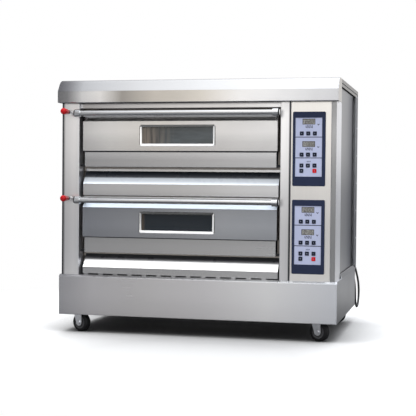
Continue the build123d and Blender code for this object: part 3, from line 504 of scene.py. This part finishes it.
def add_lathe(mesh, profile, place=None, segments=48):
    """A (radius, height) outline turned about local Z. It closes where its radius is 0."""
    place = place or Matrix.Identity(4)
    rings = []
    for radius, height in profile:
        if radius < 1e-7:
            rings.append([mesh.verts.new(place @ Vector((0, 0, height)))])
            continue
        turns = [2 * pi * step / segments for step in range(segments)]
        spots = [Vector((radius * cos(turn), radius * sin(turn), height)) for turn in turns]
        rings.append([mesh.verts.new(place @ spot) for spot in spots])
    for low, high in zip(rings, rings[1:]):
        for step in range(segments):
            following = (step + 1) % segments
            if len(low) == 1 and len(high) == 1:
                continue
            if len(low) == 1:
                corners = (low[0], high[step], high[following])
            elif len(high) == 1:
                corners = (low[step], low[following], high[0])
            else:
                corners = (low[step], low[following], high[following], high[step])
            mesh.faces.new(corners)
    return rings


def closed_lathe(mesh, profile, place=None, segments=48):
    """A ring: the outline's last point joins its first."""
    add_lathe(mesh, [*profile, profile[0]], place, segments)
    bmesh.ops.remove_doubles(mesh, verts=mesh.verts, dist=1e-6)


def turned_to(axis, spot):
    """Puts local Z along an axis at a spot."""
    return Matrix.Translation(spot) @ Vector(axis).to_track_quat("Z", "X").to_matrix().to_4x4()


FRONTWARD = (0, -1, 0)


# ======== supply lead
CORD = 0.011
COIL_RADIUS = 0.0625
COIL_CENTRE = Vector((0.400, rear + 0.220))
COIL_TURNS = 2.5
POINTS_PER_TURN = 16
GLAND_END = rear + 0.029


def coil_points():
    """The coil's turns: out, in, and the last half turn up on the other two."""
    points = []
    steps = int(COIL_TURNS * POINTS_PER_TURN)
    bulge = 1 / (0.75 + 0.25 * cos(2 * pi / POINTS_PER_TURN))
    for step in range(1, steps):
        turn = step / POINTS_PER_TURN
        inward = min(1.0, max(0.0, (turn - 0.7) / 0.5))
        upward = min(1.0, max(0.0, (turn - 1.55) / 0.45))
        radius = COIL_RADIUS + CORD * (0.5 - inward + 0.5 * upward)
        height = CORD * (0.5 + 0.85 * upward)
        angle = 2 * pi * turn
        spot = COIL_CENTRE + Vector((cos(angle), sin(angle))) * radius * bulge
        points.append((spot.x, spot.y, height))
    return points


tail_x = COIL_CENTRE.x - COIL_RADIUS
plug_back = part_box("plug")[1].y
plug_height = (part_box("plug")[0].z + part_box("plug")[1].z) / 2
lead_route = [
    (0.632, GLAND_END, 0.330),
    (0.634, rear + 0.074, 0.326),
    (0.641, rear + 0.112, 0.300),
    (0.652, rear + 0.134, 0.254),
    (0.664, rear + 0.143, 0.198),
    (0.668, rear + 0.145, 0.148),
    (0.667, rear + 0.141, 0.099),
    (0.666, rear + 0.105, 0.0635),
    (0.664, rear + 0.055, 0.0635),
    (0.662, rear + 0.019, 0.099),
    (0.661, rear + 0.016, 0.150),
    (0.657, rear + 0.016, 0.206),
    (0.644, rear + 0.017, 0.258),
    (0.616, rear + 0.018, 0.304),
    (0.572, rear + 0.020, 0.336),
    (0.519, rear + 0.020, 0.336),
    (0.480, rear + 0.022, 0.300),
    (0.465, rear + 0.026, 0.246),
    (0.462, rear + 0.036, 0.186),
    (0.462, rear + 0.054, 0.128),
    (0.464, rear + 0.086, 0.076),
    (0.467, rear + 0.128, 0.034),
    (0.468, rear + 0.178, 0.0085),
    (COIL_CENTRE.x + COIL_RADIUS + CORD / 2, COIL_CENTRE.y, 0.0055),
    *coil_points(),
    (tail_x, COIL_CENTRE.y, 0.01485),
    (tail_x, COIL_CENTRE.y - 0.040, 0.01705),
    (tail_x - 0.002, COIL_CENTRE.y - 0.076, 0.025),
    (tail_x - 0.002, plug_back, plug_height),
]


def make_lead():
    """The supply lead: down in a loop beside the cabinet, over its peg, and down to its coil."""
    data = bpy.data.curves.new("supply_lead", "CURVE")
    data.dimensions = "3D"
    data.bevel_depth = CORD / 2
    data.bevel_resolution = 6
    data.resolution_u = 12
    data.use_fill_caps = True
    spline = data.splines.new("NURBS")
    spline.points.add(len(lead_route) - 1)
    for point, spot in zip(spline.points, lead_route):
        point.co = (*spot, 1.0)
    spline.order_u = 3
    spline.use_endpoint_u = True
    data.materials.append(materials["cord"])
    lead = bpy.data.objects.new("supply_lead", data)
    scene.collection.objects.link(lead)
    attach(lead, "cabinet")
    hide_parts("power_cord", "cord_coil")


make_lead()


# ======== carried-over sheet metal
ALIGNED = 0.9  # a face looks along an axis when its normal passes this
RISING = 0.3  # a face slopes upwards when its normal passes this
DECK_PITCH = 0.408
BETWEEN_DECKS = 0.7
HINGE_TOP = 0.86
STRIP_FOOT = 1.0
FLANGE_HALF = 0.463
LOWER_SLOPE_TOP = 0.365
LOWER_LIP = (0.355, 0.40)
GAP_DEPTH = 0.055  # the front frame is seen deeper than this only in the gaps round the doors
CORNER_LEFT = 0.632
CORNER_RIGHT = 0.65
END_ROUNDING = 0.012
RECESS = 0.0003  # a display lens stands back this far from its face plate
door_middle = (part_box("door_frame_upper")[0].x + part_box("door_frame_upper")[1].x) / 2
handle_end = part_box("door_handle_upper")[1].x
face_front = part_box("controller_faces")[0].y


def upper_height(middle):
    """A spot's height, or for one on the lower deck that of its match on the upper deck."""
    return middle.z if middle.z > BETWEEN_DECKS else middle.z + DECK_PITCH


def facing(axis, low, high=1.1):
    """A test for faces whose normal along an axis lies between two limits."""
    return lambda middle, normal: low < normal[axis] < high


X, Z = 0, 2
is_underside = facing(Z, -1.1, -ALIGNED)
is_upward = facing(Z, RISING)  # level faces and slopes
is_low_side = facing(Z, -1.1, -0.10)
is_left_end = facing(X, -1.1, -0.25)


def is_sideways(middle, normal):
    """True on a face that looks to the left or the right."""
    return abs(normal.x) > ALIGNED


def is_hinge(middle, normal):
    """True on the hinge pins, which stand out past the flange at its foot."""
    return abs(middle.x - door_middle) > FLANGE_HALF + 0.0005 and upper_height(middle) < HINGE_TOP


def is_strip(middle, normal):
    """True on the strip of door above its panel, behind the handle."""
    return normal.y < -ALIGNED and upper_height(middle) > STRIP_FOOT


def is_door_edge(middle, normal):
    """True on the underside, sides and hinge pins of a door's frame."""
    return is_underside(middle, normal) or is_sideways(middle, normal) or is_hinge(middle, normal)


def is_handle_end(middle, normal):
    """True on the rounding of a handle's two ends."""
    on_right = middle.x > handle_end - END_ROUNDING and 0.25 < normal.x < 0.93
    return on_right or is_left_end(middle, normal)


def is_lower_slope(middle, normal):
    """True on the sloping top of the lower sill."""
    return normal.z > RISING and middle.z < LOWER_SLOPE_TOP


def is_lower_lip(middle, normal):
    """True on what stands above the lower sill's slope, in the shade of the door."""
    return LOWER_LIP[0] < middle.z < LOWER_LIP[1] and not RISING < normal.z < 0.95


def is_in_gap(middle, normal):
    """True on what the front frame shows sideways, or deep in the gaps round the doors."""
    return is_sideways(middle, normal) or normal.y < -ALIGNED and middle.y > front + GAP_DEPTH


def is_corner_front(middle, normal):
    """True on the front of the corner post."""
    return normal.y < -ALIGNED and middle.x > CORNER_LEFT


def is_corner_side(middle, normal):
    """True on the outer side of the corner post."""
    return normal.x > ALIGNED and middle.x > CORNER_RIGHT


def is_display(middle, normal):
    """True on the front of a display lens, which stands back from the face plate."""
    return normal.y < -ALIGNED and face_front + RECESS < middle.y < face_front + 2 * RECESS


# Painted light and shade: faces that look up, sideways or down, or sit in gaps, take the lighter, darker or
# near-black copies from the table.
dress("base_skirt", "skirt", skirt_side=is_sideways)
dress("chassis_frame", "chassis")
dress("canopy", "canopy", under=is_underside, canopy_top=is_upward, canopy_end=is_sideways)
dress("roof_panel", "roof", roof_end=is_sideways, under=is_underside)
dress("side_panels", "side")
dress("rear_panel", "rear", wrap=is_sideways)
dress("sill_aprons", "sill", sill_slope=is_upward, lower_slope=is_lower_slope, under=is_lower_lip)
dress("chamber_liners", "chamber")
dress("heating_elements", "heater")
dress("insulation_slabs", "wool")
dress("control_fascia", "fascia")
dress("controller_bezels", "navy")
dress("controller_faces", "face", display=is_display)
dress("cable_gland", "black")
dress("plug", "plug")
dress("front_frame", "frame", gap=is_in_gap, corner=is_corner_front, corner_side=is_corner_side)
for deck in decks:
    # Painted shade on the doors' undersides, sides and hinge pins, the panels' undersides and the handles'
    # ends and lower sides; painted light on the lower panel's upward folds.
    dress(f"door_frame_{deck}", f"door_{deck}", strip=is_strip, under=is_door_edge)
    lit = {"lit_fold": is_upward} if deck == "lower" else {}
    dress(f"door_panel_{deck}", f"panel_{deck}", under=is_underside, **lit)
    dress(f"window_glass_{deck}", "glass")
    dress(f"door_handle_{deck}", "chrome", chrome_low=is_low_side, under=is_handle_end)
for place in ("front_left", "front_right", "rear_left", "rear_right"):
    dress(f"caster_fork_{place}", "zinc")
for name in frame["nodes"]:
    if name.startswith("key_"):
        dress(name, "key_red" if name.endswith("power") else "key")


# ======== near-black seam strips for painted shade, and window beads
# the height of each deck's near-black strip of painted shade in the door seam
SEAM = {"upper": 0.0060, "lower": 0.0045}
flange_front = front + 0.030


def make_seal(deck):
    """A near-black strip in the seam between a door's panel and its lower flange: painted shade, standing for
    the shadow in the seam.
    """
    low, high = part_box(f"door_panel_{deck}")
    seal = bmesh.new()
    corner = (door_middle - FLANGE_HALF + 0.001, flange_front - 0.0010, low.z - SEAM[deck])
    add_box(seal, corner, (door_middle + FLANGE_HALF - 0.001, flange_front + 0.0004, low.z + 0.0004), 0.0004)
    mesh_piece(f"seal_{deck}", f"door_{deck}", "under", seal)


def rounded_ring(centre, size, radius):
    """Points (x, z) round a rounded rectangle."""
    points = []
    steps = 8
    half_x, half_z = size[0] / 2 - radius, size[1] / 2 - radius
    for quarter, (sign_x, sign_z) in enumerate(((1, 1), (-1, 1), (-1, -1), (1, -1))):
        for step in range(steps + 1):
            angle = pi / 2 * (quarter + step / steps)
            x = centre[0] + sign_x * half_x + radius * cos(angle)
            z = centre[1] + sign_z * half_z + radius * sin(angle)
            points.append((x, z))
    return points


def add_swept_ring(mesh, centre, size, radius, section, face):
    """A section of (inset, standing-out) points swept round a rounded rectangle on the front."""
    loops = []
    for inset, proud in section:
        outline = rounded_ring(centre, (size[0] - 2 * inset, size[1] - 2 * inset), max(radius - inset, 0.001))
        loops.append([mesh.verts.new((x, face - proud, z)) for x, z in outline])
    for near, far in zip(loops, loops[1:] + loops[:1]):
        for step in range(len(near)):
            following = (step + 1) % len(near)
            mesh.faces.new((near[step], near[following], far[following], far[step]))


RIM = 0.0034  # a window frame's flat rim, outside its slope
TRIMS = ("trim", "trim_white", "trim_grey", "trim_dark")
FRAME_TRIMS = {  # what the rim and the slope of a window frame mirror on each side
    "top": ("trim_dark", "trim_grey"), "left": ("trim_dark", "trim"),
    "right": ("trim_grey", "trim_white"), "bottom": ("trim_white", "trim_white"),
}


def make_window_frame(deck):
    """A pressed window frame: a flat rim and a slope down to the glass, toned by what each mirrors."""
    low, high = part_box(f"window_trim_{deck}")
    centre = ((low.x + high.x) / 2, (low.z + high.z) / 2)
    size = (high.x - low.x, high.z - low.z)
    section = [
        (0.0, 0.0), (0.0, 0.0040), (0.0010, 0.0050), (RIM, 0.0050), (0.0106, 0.0016), (0.0115, 0.0004),
        (0.0115, -0.0100), (0.0100, -0.0100), (0.0100, 0.0),
    ]
    ring = bmesh.new()
    add_swept_ring(ring, centre, size, 0.012, section, low.y + 0.005)
    ring = mesh_piece(f"window_frame_{deck}", f"door_{deck}", "trim", ring, smooth=True)
    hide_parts(f"window_trim_{deck}")
    for key in TRIMS[1:]:
        ring.data.materials.append(materials[key])
    for polygon in ring.data.polygons:
        across = (polygon.center.x - centre[0]) / (size[0] / 2)
        along = (polygon.center.z - centre[1]) / (size[1] / 2)
        from_side = (1 - abs(across)) * size[0] / 2
        from_end = (1 - abs(along)) * size[1] / 2
        if from_end < from_side:
            side = "top" if along > 0 else "bottom"
        else:
            side = "right" if across > 0 else "left"
        rim_trim, slope_trim = FRAME_TRIMS[side]
        polygon.material_index = TRIMS.index(rim_trim if min(from_side, from_end) < RIM else slope_trim)


for deck in decks:
    make_seal(deck)
    make_window_frame(deck)


# ======== casters
WHEEL_WIDTH = 0.034


def make_wheel(place):
    """A rubber tyre on a moulded hub with six ribs."""
    joint = joints[f"wheel_{place}_spin"]
    body = f"wheel_{place}"
    spot = turned_to(joint["axis"], joint["pos_m"])
    low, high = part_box(f"caster_wheel_{place}")
    tread, half = (high.z - low.z) / 2, WHEEL_WIDTH / 2
    shoulder = [
        (tread - 0.0145, -half), (tread - 0.0075, -half), (tread - 0.0030, -half + 0.0020),
        (tread - 0.0008, -half + 0.0055), (tread, -half + 0.0100), (tread, -0.0012), (tread - 0.0007, 0.0),
    ]
    outline = shoulder + [(radius, -height) for radius, height in reversed(shoulder[:-1])]
    tyre = bmesh.new()
    closed_lathe(tyre, outline, segments=64)
    tyre = mesh_piece(f"tyre_{place}", body, "tyre", tyre, smooth=True, place=spot)
    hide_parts(f"caster_wheel_{place}")
    hub = bmesh.new()
    web = [
        (0.0062, -half - 0.0015), (0.0125, -half - 0.0015),
        (0.0140, -half + 0.0010), (0.0145, -half + 0.0045),
        (tread - 0.018, -half + 0.0045), (tread - 0.0165, -half + 0.0005), (tread - 0.0146, -half + 0.0002),
    ]
    closed_lathe(hub, web + [(radius, -height) for radius, height in reversed(web)])
    for number in range(6):
        turn = Matrix.Rotation(number * pi / 3, 4, "Z")
        rib = bmesh.new()
        add_box(rib, (0.0140, -0.0013, -half + 0.0015), (tread - 0.017, 0.0013, half - 0.0015), 0.0006)
        rib.transform(turn)
        spare = bpy.data.meshes.new("rib")
        rib.to_mesh(spare)
        rib.free()
        hub.from_mesh(spare)
        bpy.data.meshes.remove(spare)
    mesh_piece(f"hub_{place}", body, "hub", hub, smooth=True, place=spot)


for place in ("front_left", "front_right", "rear_left", "rear_right"):
    make_wheel(place)


# ======== damper pulls
SWELL = 1.08  # a knob's fattening, everywhere but at its narrow foot
FOOT = 0.0084


def make_damper(deck):
    """A teardrop knob and a collar on a steel rod, which slides in a bush on the post and moves a flap."""
    low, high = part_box(f"damper_pull_{deck}")
    body = f"damper_{deck}"
    rod = 0.005
    ball = 0.014
    centre_z = high.z - ball
    centre_x = low.x + ball
    nose = turned_to((0, 1, 0), (centre_x, low.y, centre_z))
    knob = bmesh.new()
    profile = [(0.0, 0.0)]
    for step in range(1, 10):
        angle = pi * 0.60 * step / 9
        profile.append((ball * sin(angle), ball * (1 - cos(angle))))
    profile += [
        (0.0132, 0.0240), (0.0128, 0.0340), (0.0122, 0.0430), (0.0114, 0.0520), (0.0104, 0.0600),
        (0.0094, 0.0650), (0.0083, 0.0668), (rod + 0.0002, 0.0670), (rod + 0.0002, 0.0500), (0.0, 0.0500),
    ]
    fattened = [(radius * SWELL if radius > FOOT else radius, height) for radius, height in profile]
    add_lathe(knob, fattened, segments=40)
    knob = mesh_piece(f"damper_knob_{deck}", body, "red", knob, smooth=True, place=nose)
    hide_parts(f"damper_pull_{deck}")
    collar = bmesh.new()
    ring = [(rod + 0.0002, 0.0672), (0.0090, 0.0672), (0.0098, 0.0684), (0.0092, 0.0800), (0.0082, 0.0812)]
    closed_lathe(collar, ring + [(rod + 0.0002, 0.0812)], segments=36)
    mesh_piece(f"damper_collar_{deck}", body, "black", collar, smooth=True, place=nose)
    shaft = bmesh.new()
    reach = high.y - low.y
    tip = [(0.0, 0.0505), (rod, 0.0505), (rod, reach - 0.001), (rod - 0.001, reach), (0.0, reach)]
    add_lathe(shaft, tip, segments=24)
    mesh_piece(f"damper_rod_{deck}", body, "zinc", shaft, smooth=True, place=nose)
    flap = bmesh.new()
    near = centre_x + rod
    add_box(flap, (near, high.y - 0.059, low.z), (near + 0.003, high.y, high.z - 0.009), 0.0008)
    mesh_piece(f"damper_flap_{deck}", body, "heater", flap)
    bush = bmesh.new()
    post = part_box("front_frame")[0].y
    ring = [(rod + 0.0004, -0.004), (rod + 0.0004, 0.0025), (0.0078, 0.0025), (0.0092, 0.0015), (0.0098, 0.0)]
    closed_lathe(bush, ring + [(0.0098, -0.0002), (0.0055, -0.0002)], segments=36)
    spot = turned_to(FRONTWARD, (centre_x, post, centre_z))
    mesh_piece(f"damper_bush_{deck}", "cabinet", "frame", bush, smooth=True, place=spot)


for deck in decks:
    make_damper(deck)


# ======== controllers
SEGMENTS = {"0": "abcdef", "1": "bc", "2": "abged", "5": "afgcd", "8": "abcdefg"}
STROKES = {  # each stroke of a digit, as shares of its width and height
    "a": ((0, 1), (1, 1)), "b": ((1, 0.5), (1, 1)), "c": ((1, 0), (1, 0.5)), "d": ((0, 0), (1, 0)),
    "e": ((0, 0), (0, 0.5)), "f": ((0, 0.5), (0, 1)), "g": ((0, 0.5), (1, 0.5)),
}


def add_stroke(mesh, start, end, width, y, height):
    """A flat bar on the front between two (x, z) points, standing out towards the front."""
    start, end = Vector(start), Vector(end)
    along = (end - start).normalized() * width / 2
    side = Vector((-along.y, along.x))
    outline = [start - along - side, end + along - side, end + along + side, start - along + side]
    back = [mesh.verts.new((point.x, y, point.y)) for point in outline]
    face = [mesh.verts.new((point.x, y - height, point.y)) for point in outline]
    mesh.faces.new(face)
    mesh.faces.new(back[::-1])
    for step in range(4):
        following = (step + 1) % 4
        mesh.faces.new((back[step], back[following], face[following], face[step]))


def add_number(mesh, text, centre, size, y):
    """Seven-segment digits in a row about a centre."""
    width, height = size
    pitch = width * 1.6
    start = centre[0] - pitch * (len(text) - 1) / 2 - width / 2
    for index, digit in enumerate(text):
        corner = Vector((start + index * pitch, centre[1] - height / 2))
        for name in SEGMENTS[digit]:
            ends = [corner + Vector((share[0] * width, share[1] * height)) for share in STROKES[name]]
            gap = (ends[1] - ends[0]) * 0.12
            add_stroke(mesh, ends[0] + gap, ends[1] - gap, width * 0.2, y, 0.0001)


def key_centre(name):
    """The (x, z) middle of a key."""
    low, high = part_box(name)
    return Vector(((low.x + high.x) / 2, (low.z + high.z) / 2))


LEFTWARD = (((-0.4, 0), (0.4, 0)), ((-0.4, 0), (-0.1, 0.3)), ((-0.4, 0), (-0.1, -0.3)))
UPWARD = (((0, -0.4), (0, 0.4)), ((0, 0.4), (-0.3, 0.1)), ((0, 0.4), (0.3, 0.1)))
DOWNWARD = (((0, -0.4), (0, 0.4)), ((0, -0.4), (-0.3, -0.1)), ((0, -0.4), (0.3, -0.1)))
KEY_MARKS = {  # strokes of each key's sign, in shares of the sign's size
    "top_1": LEFTWARD, "top_2": UPWARD, "top_3": DOWNWARD,
    "middle_1": LEFTWARD, "middle_2": UPWARD, "middle_3": DOWNWARD,
    "set_1": (((-0.4, 0), (0.4, 0)), ((0, -0.4), (0, 0.4))),
    "set_2": (((-0.35, 0.35), (0.35, 0.35)), ((-0.35, -0.35), (0.35, -0.35)), ((-0.35, 0), (0.35, 0))),
    "set_3": (((-0.4, 0), (0.4, 0)),),
    "light": (
        ((0, -0.4), (0, 0.4)), ((-0.4, 0), (0.4, 0)),
        ((-0.28, -0.28), (0.28, 0.28)), ((-0.28, 0.28), (0.28, -0.28)),
    ),
    "power": (
        ((0, 0.05), (0, 0.45)), ((-0.3, 0.2), (-0.3, -0.2)),
        ((-0.3, -0.3), (0.3, -0.3)), ((0.3, -0.2), (0.3, 0.2)),
    ),
}
SIGN = 0.0060  # a sign's size


def mark_key(deck, name):
    """The light sign on a key."""
    cad_node = f"key_{deck}_{name}"
    low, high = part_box(cad_node)
    middle = key_centre(cad_node)
    sign = bmesh.new()
    for start, end in KEY_MARKS[name]:
        add_stroke(sign, middle + Vector(start) * SIGN, middle + Vector(end) * SIGN, 0.0013, low.y, 0.00012)
    mesh_piece(f"mark_{deck}_{name}", cad_node, "pale_ink", sign)


INK = 0.00015  # printed strokes stand out this far
LETTER = 0.0058  # pitch of a caption's strokes
DISPLAY_RISE = {"top": 0.0535, "middle": 0.0475}  # a display's middle above its row of keys
CAPTION_DROP = 0.0225  # a caption's middle below that of its display
BORDER = (0.0275, 0.0116)  # a display's border from its middle, across and up


def add_caption(mesh, x, z, y):
    """Generic strokes in place of a caption, and a small tick to their right."""
    for number in range(6):
        place = x - 0.013 + number * LETTER
        rise = 0.0056 if number % 2 else 0.0036
        add_stroke(mesh, (place, z - rise), (place, z + rise), 0.0024, y, INK)
        if number < 5:
            shelf = z + (0.0036 if number % 2 else -0.0036)
            add_stroke(mesh, (place, shelf), (place + LETTER, shelf), 0.0020, y, INK)
    tip = (x + 0.0435, z + 0.0065)
    add_stroke(mesh, (x + 0.040, z + 0.011), tip, 0.0026, y, INK)
    add_stroke(mesh, tip, (x + 0.047, z + 0.011), 0.0026, y, INK)


def add_display(mesh, text, x, z, y):
    """A display's digits and its dark border."""
    add_number(mesh, text, (x + 0.0015, z), (0.0085, 0.0150), y)
    reach = BORDER[0] + 0.0010
    for side in (-1, 1):
        edge = z + side * BORDER[1]
        upright = x + side * BORDER[0]
        add_stroke(mesh, (x - reach, edge), (x + reach, edge), 0.0026, y, 0.0001)
        add_stroke(mesh, (upright, edge), (upright, edge - side * 2 * BORDER[1]), 0.0026, y, 0.0001)


def print_face(deck, digits):
    """What is printed and shown on one controller: rules, captions, display digits and small strokes."""
    rows = {row: key_centre(f"key_{deck}_{row}_2").y for row in ("top", "middle", "set")}
    low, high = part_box("controller_faces")
    reach = (high.x - low.x) / 2 - 0.0015
    centre = (low.x + high.x) / 2
    rules = bmesh.new()
    for z in (rows["top"] - 0.0165, rows["middle"] - 0.0150):
        add_stroke(rules, (centre - reach, z), (centre + reach, z), 0.0034, low.y, 0.0002)
    for row, rise in DISPLAY_RISE.items():
        add_caption(rules, centre, rows[row] + rise - CAPTION_DROP, low.y)
    for number in range(4):
        x = centre - 0.007 + number * 0.0046
        add_stroke(rules, (x, rows["set"] + 0.0160), (x + 0.0016, rows["set"] + 0.0200), 0.0022, low.y, INK)
    mesh_piece(f"print_{deck}", "cabinet", "ink", rules)
    numbers = bmesh.new()
    for text, (row, rise) in zip(digits, DISPLAY_RISE.items()):
        add_display(numbers, text, centre, rows[row] + rise, face_front + RECESS + 0.0001)
    mesh_piece(f"digits_{deck}", "cabinet", "digit", numbers)


for deck, digits in (("upper", ("220", "180")), ("lower", ("200", "210"))):
    for name in KEY_MARKS:
        mark_key(deck, name)
    print_face(deck, digits)


# ======== screws
def add_screw(mesh, spot, axis, radius=0.0045):
    """A pan-head screw with a small round recess, standing on a surface."""
    place = turned_to(axis, spot)
    dome = ((1.0, 0.0), (1.0, 0.0006), (0.9, 0.0017), (0.6, 0.0024), (0.3, 0.0026))
    recess = ((0.28, 0.0012), (0.0, 0.0012))
    add_lathe(mesh, [(radius * share, height) for share, height in dome + recess], place, segments=16)


def screw_rows(name, spots, axis, radius=0.0045):
    """Several screws as one piece."""
    heads = bmesh.new()
    for spot in spots:
        add_screw(heads, spot, axis, radius)
    mesh_piece(name, "cabinet", "zinc", heads, smooth=True)


def spaced(low, high, count):
    """Evenly spaced numbers, both ends included."""
    return [low + (high - low) * step / (count - 1) for step in range(count)]


def make_screws():
    """The rows that hold the rear, side and roof sheets."""
    low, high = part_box("rear_panel")
    margin = 0.018
    columns = spaced(low.x + margin, high.x - margin, 8)
    spots = [(x, high.y, z) for z in (low.z + margin, high.z - margin) for x in columns]
    heights = spaced(low.z + margin, high.z - margin, 7)[1:-1]
    spots += [(x, high.y, z) for x in (low.x + margin, high.x - margin) for z in heights]
    screw_rows("rear_screws", spots, (0, 1, 0))
    for side, name in ((-1, "left_wrap_screws"), (1, "right_wrap_screws")):
        x = high.x if side > 0 else low.x
        screw_rows(name, [(x, high.y - 0.045, z) for z in heights], (side, 0, 0), 0.0035)
    low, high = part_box("roof_panel")
    rim = [(x, high.y, high.z - 0.020) for x in spaced(low.x + 0.05, high.x - 0.05, 7)]
    screw_rows("roof_screws", rim, (0, 1, 0), 0.0035)


make_screws()


# ======== studio
def make_floor():
    """A pale floor: lit near the oven, with painted shadow under and in front of it, plain white far off, and
    dimmer in what the steel reflects.
    """
    mesh = bmesh.new()
    bmesh.ops.create_grid(mesh, x_segments=1, y_segments=1, size=30)
    data = bpy.data.meshes.new("floor")
    mesh.to_mesh(data)
    mesh.free()
    material, tree, shader = principled("floor", roughness=0.95)
    place = node(tree, "TexCoord").outputs["Object"]
    distance = node(tree, "VectorMath", {0: place}, operation="LENGTH").outputs["Value"]
    rays = node(tree, "LightPath").outputs
    seen = rays["Is Camera Ray"]
    mirrored = ramp(tree, remap(tree, distance, 0.0, 1.0, (0.5, 6.0)), (
        (0.0, 0.10, 0.10, 0.105), (0.12, 0.16, 0.16, 0.165), (0.27, 0.42),
        (0.50, 0.36, 0.36, 0.37), (1.0, 0.20, 0.205, 0.22),
    ))
    # painted shadow: the floor's colour darkens by ambient occlusion, and near a spot in front of the oven
    open_air = node(tree, "AmbientOcclusion", {"Distance": 0.45}, samples=8).outputs["AO"]
    before_oven = (0.1, front - 0.5, 0.0)
    near = node(tree, "VectorMath", {0: place, 1: before_oven}, operation="DISTANCE").outputs["Value"]
    openness = remap(tree, near, 0.57, 0.95, (0.45, 1.25))
    shade = arithmetic(tree, "MULTIPLY", openness, remap(tree, open_air, 0.10, 1.0, (0.25, 0.92)))
    visible = node(tree, "CombineColor", {0: shade, 1: shade, 2: shade}).outputs["Color"]
    tree.links.new(blend_colours(tree, seen, mirrored, visible), shader.inputs["Base Color"])
    glow = node(tree, "Emission", {"Color": (1.0, 1.0, 1.0, 1.0), "Strength": 1.0})
    far = arithmetic(tree, "MULTIPLY", seen, remap(tree, distance, 0.0, 1.0, (1.05, 2.1)))
    mixed = node(tree, "MixShader", {0: far, 1: shader.outputs[0], 2: glow.outputs[0]})
    tree.links.new(mixed.outputs[0], tree.nodes["Material Output"].inputs["Surface"])
    data.materials.append(material)
    floor = bpy.data.objects.new("floor", data)
    scene.collection.objects.link(floor)


def make_world():
    """A white studio. The steel reflects a soft box above, banded screens in front and dimness behind."""
    world = bpy.data.worlds.new("studio")
    scene.world = world
    world.use_nodes = True
    tree = world.node_tree
    tree.nodes.clear()
    way = node(tree, "SeparateXYZ", {0: node(tree, "TexCoord").outputs["Generated"]})
    x, y, z = way.outputs
    bearing = arithmetic(tree, "ARCTAN2", *(arithmetic(tree, "MULTIPLY", part, -1.0) for part in (x, y)))
    share = remap(tree, bearing, 0.0, 1.0, (-pi, pi))

    def at(degrees):
        return 0.5 + degrees / 360

    around = ramp(tree, share, (
        (0.0, 0.80, 0.80, 0.82), (at(-150), 0.80, 0.80, 0.82), (at(-60), 1.30),
        (at(-4), 2.10, 2.08, 2.04), (at(5.0), 1.40), (at(9), 1.75, 1.74, 1.70),
        (at(11.5), 1.85, 1.82, 1.76), (at(13.8), 1.26, 1.20, 1.11), (at(17.6), 0.98, 0.93, 0.86),
        (at(19.4), 1.55, 1.53, 1.48), (at(20.4), 1.10, 1.09, 1.08), (at(21.4), 0.30, 0.30, 0.31),
        (at(24), 0.14, 0.14, 0.15), (at(48), 0.22, 0.22, 0.23), (at(75), 0.70, 0.70, 0.72),
    ))
    height = ramp(tree, remap(tree, z, 0.0, 1.0, (-1.0, 1.0)), (
        (0.0, 0.6), (0.44, 0.30, 0.31, 0.33), (0.495, 0.30, 0.31, 0.34), (0.51, 0.96),
        (0.54, 1.0), (0.60, 0.80, 0.80, 0.82), (0.75, 0.50, 0.50, 0.52), (1.0, 0.30, 0.31, 0.33),
    ))
    banded = blend_colours(tree, 1.0, around, height, "MULTIPLY")
    edge = ramp(tree, remap(tree, x, 0.0, 1.0, (-0.40, -0.10)), (
        (0.0, 0.10, 0.10, 0.11), (0.08, 0.16, 0.16, 0.17), (0.20, 0.92, 0.93, 0.96),
        (0.40, 1.25, 1.27, 1.30), (0.75, 1.70, 1.72, 1.74), (1.0, 1.85, 1.90, 1.96),
    ))
    overhead = remap(tree, z, 0.0, 1.0, (0.45, 0.62))
    rays = node(tree, "LightPath").outputs
    seen = blend_colours(tree, overhead, banded, edge)
    reflected = node(tree, "Background", {"Color": seen, "Strength": 1.0})
    white = node(tree, "Background", {"Color": (1.0, 1.0, 1.0, 1.0), "Strength": 1.0})
    mixed = node(tree, "MixShader", {0: rays["Is Camera Ray"], 1: reflected.outputs[0], 2: white.outputs[0]})
    node(tree, "OutputWorld", {"Surface": mixed.outputs[0]})


def make_light(name, spot, target, size, power, only=None):
    """A soft box aimed at a point, which no steel mirrors. It may light only one piece."""
    data = bpy.data.lights.new(name, "AREA")
    data.shape = "RECTANGLE"
    data.size, data.size_y = size
    data.energy = power
    light = bpy.data.objects.new(name, data)
    light.location = spot
    light.rotation_mode = "QUATERNION"
    light.rotation_quaternion = (Vector(target) - Vector(spot)).to_track_quat("-Z", "Y")
    light.visible_glossy = False
    light.visible_camera = False
    scene.collection.objects.link(light)
    if only is not None:
        light.light_linking.receiver_collection = bpy.data.collections.new(f"{name}_lights")
        light.light_linking.receiver_collection.objects.link(only)


make_floor()
make_world()
make_light("overhead_box", (-0.6, -0.4, 4.2), (0, 0, 0), (5.0, 4.0), 190)
make_light("key_box", (-2.6, -3.6, 3.4), (0, -0.3, 0.7), (1.0, 1.0), 60)
sill = (-0.1, front + 0.06, 0.55)
make_light("sill_box", (-0.2, front - 1.6, 1.5), sill, (1.8, 0.4), 30, frame["nodes"]["sill_aprons"])
scene.view_settings.view_transform = "Standard"
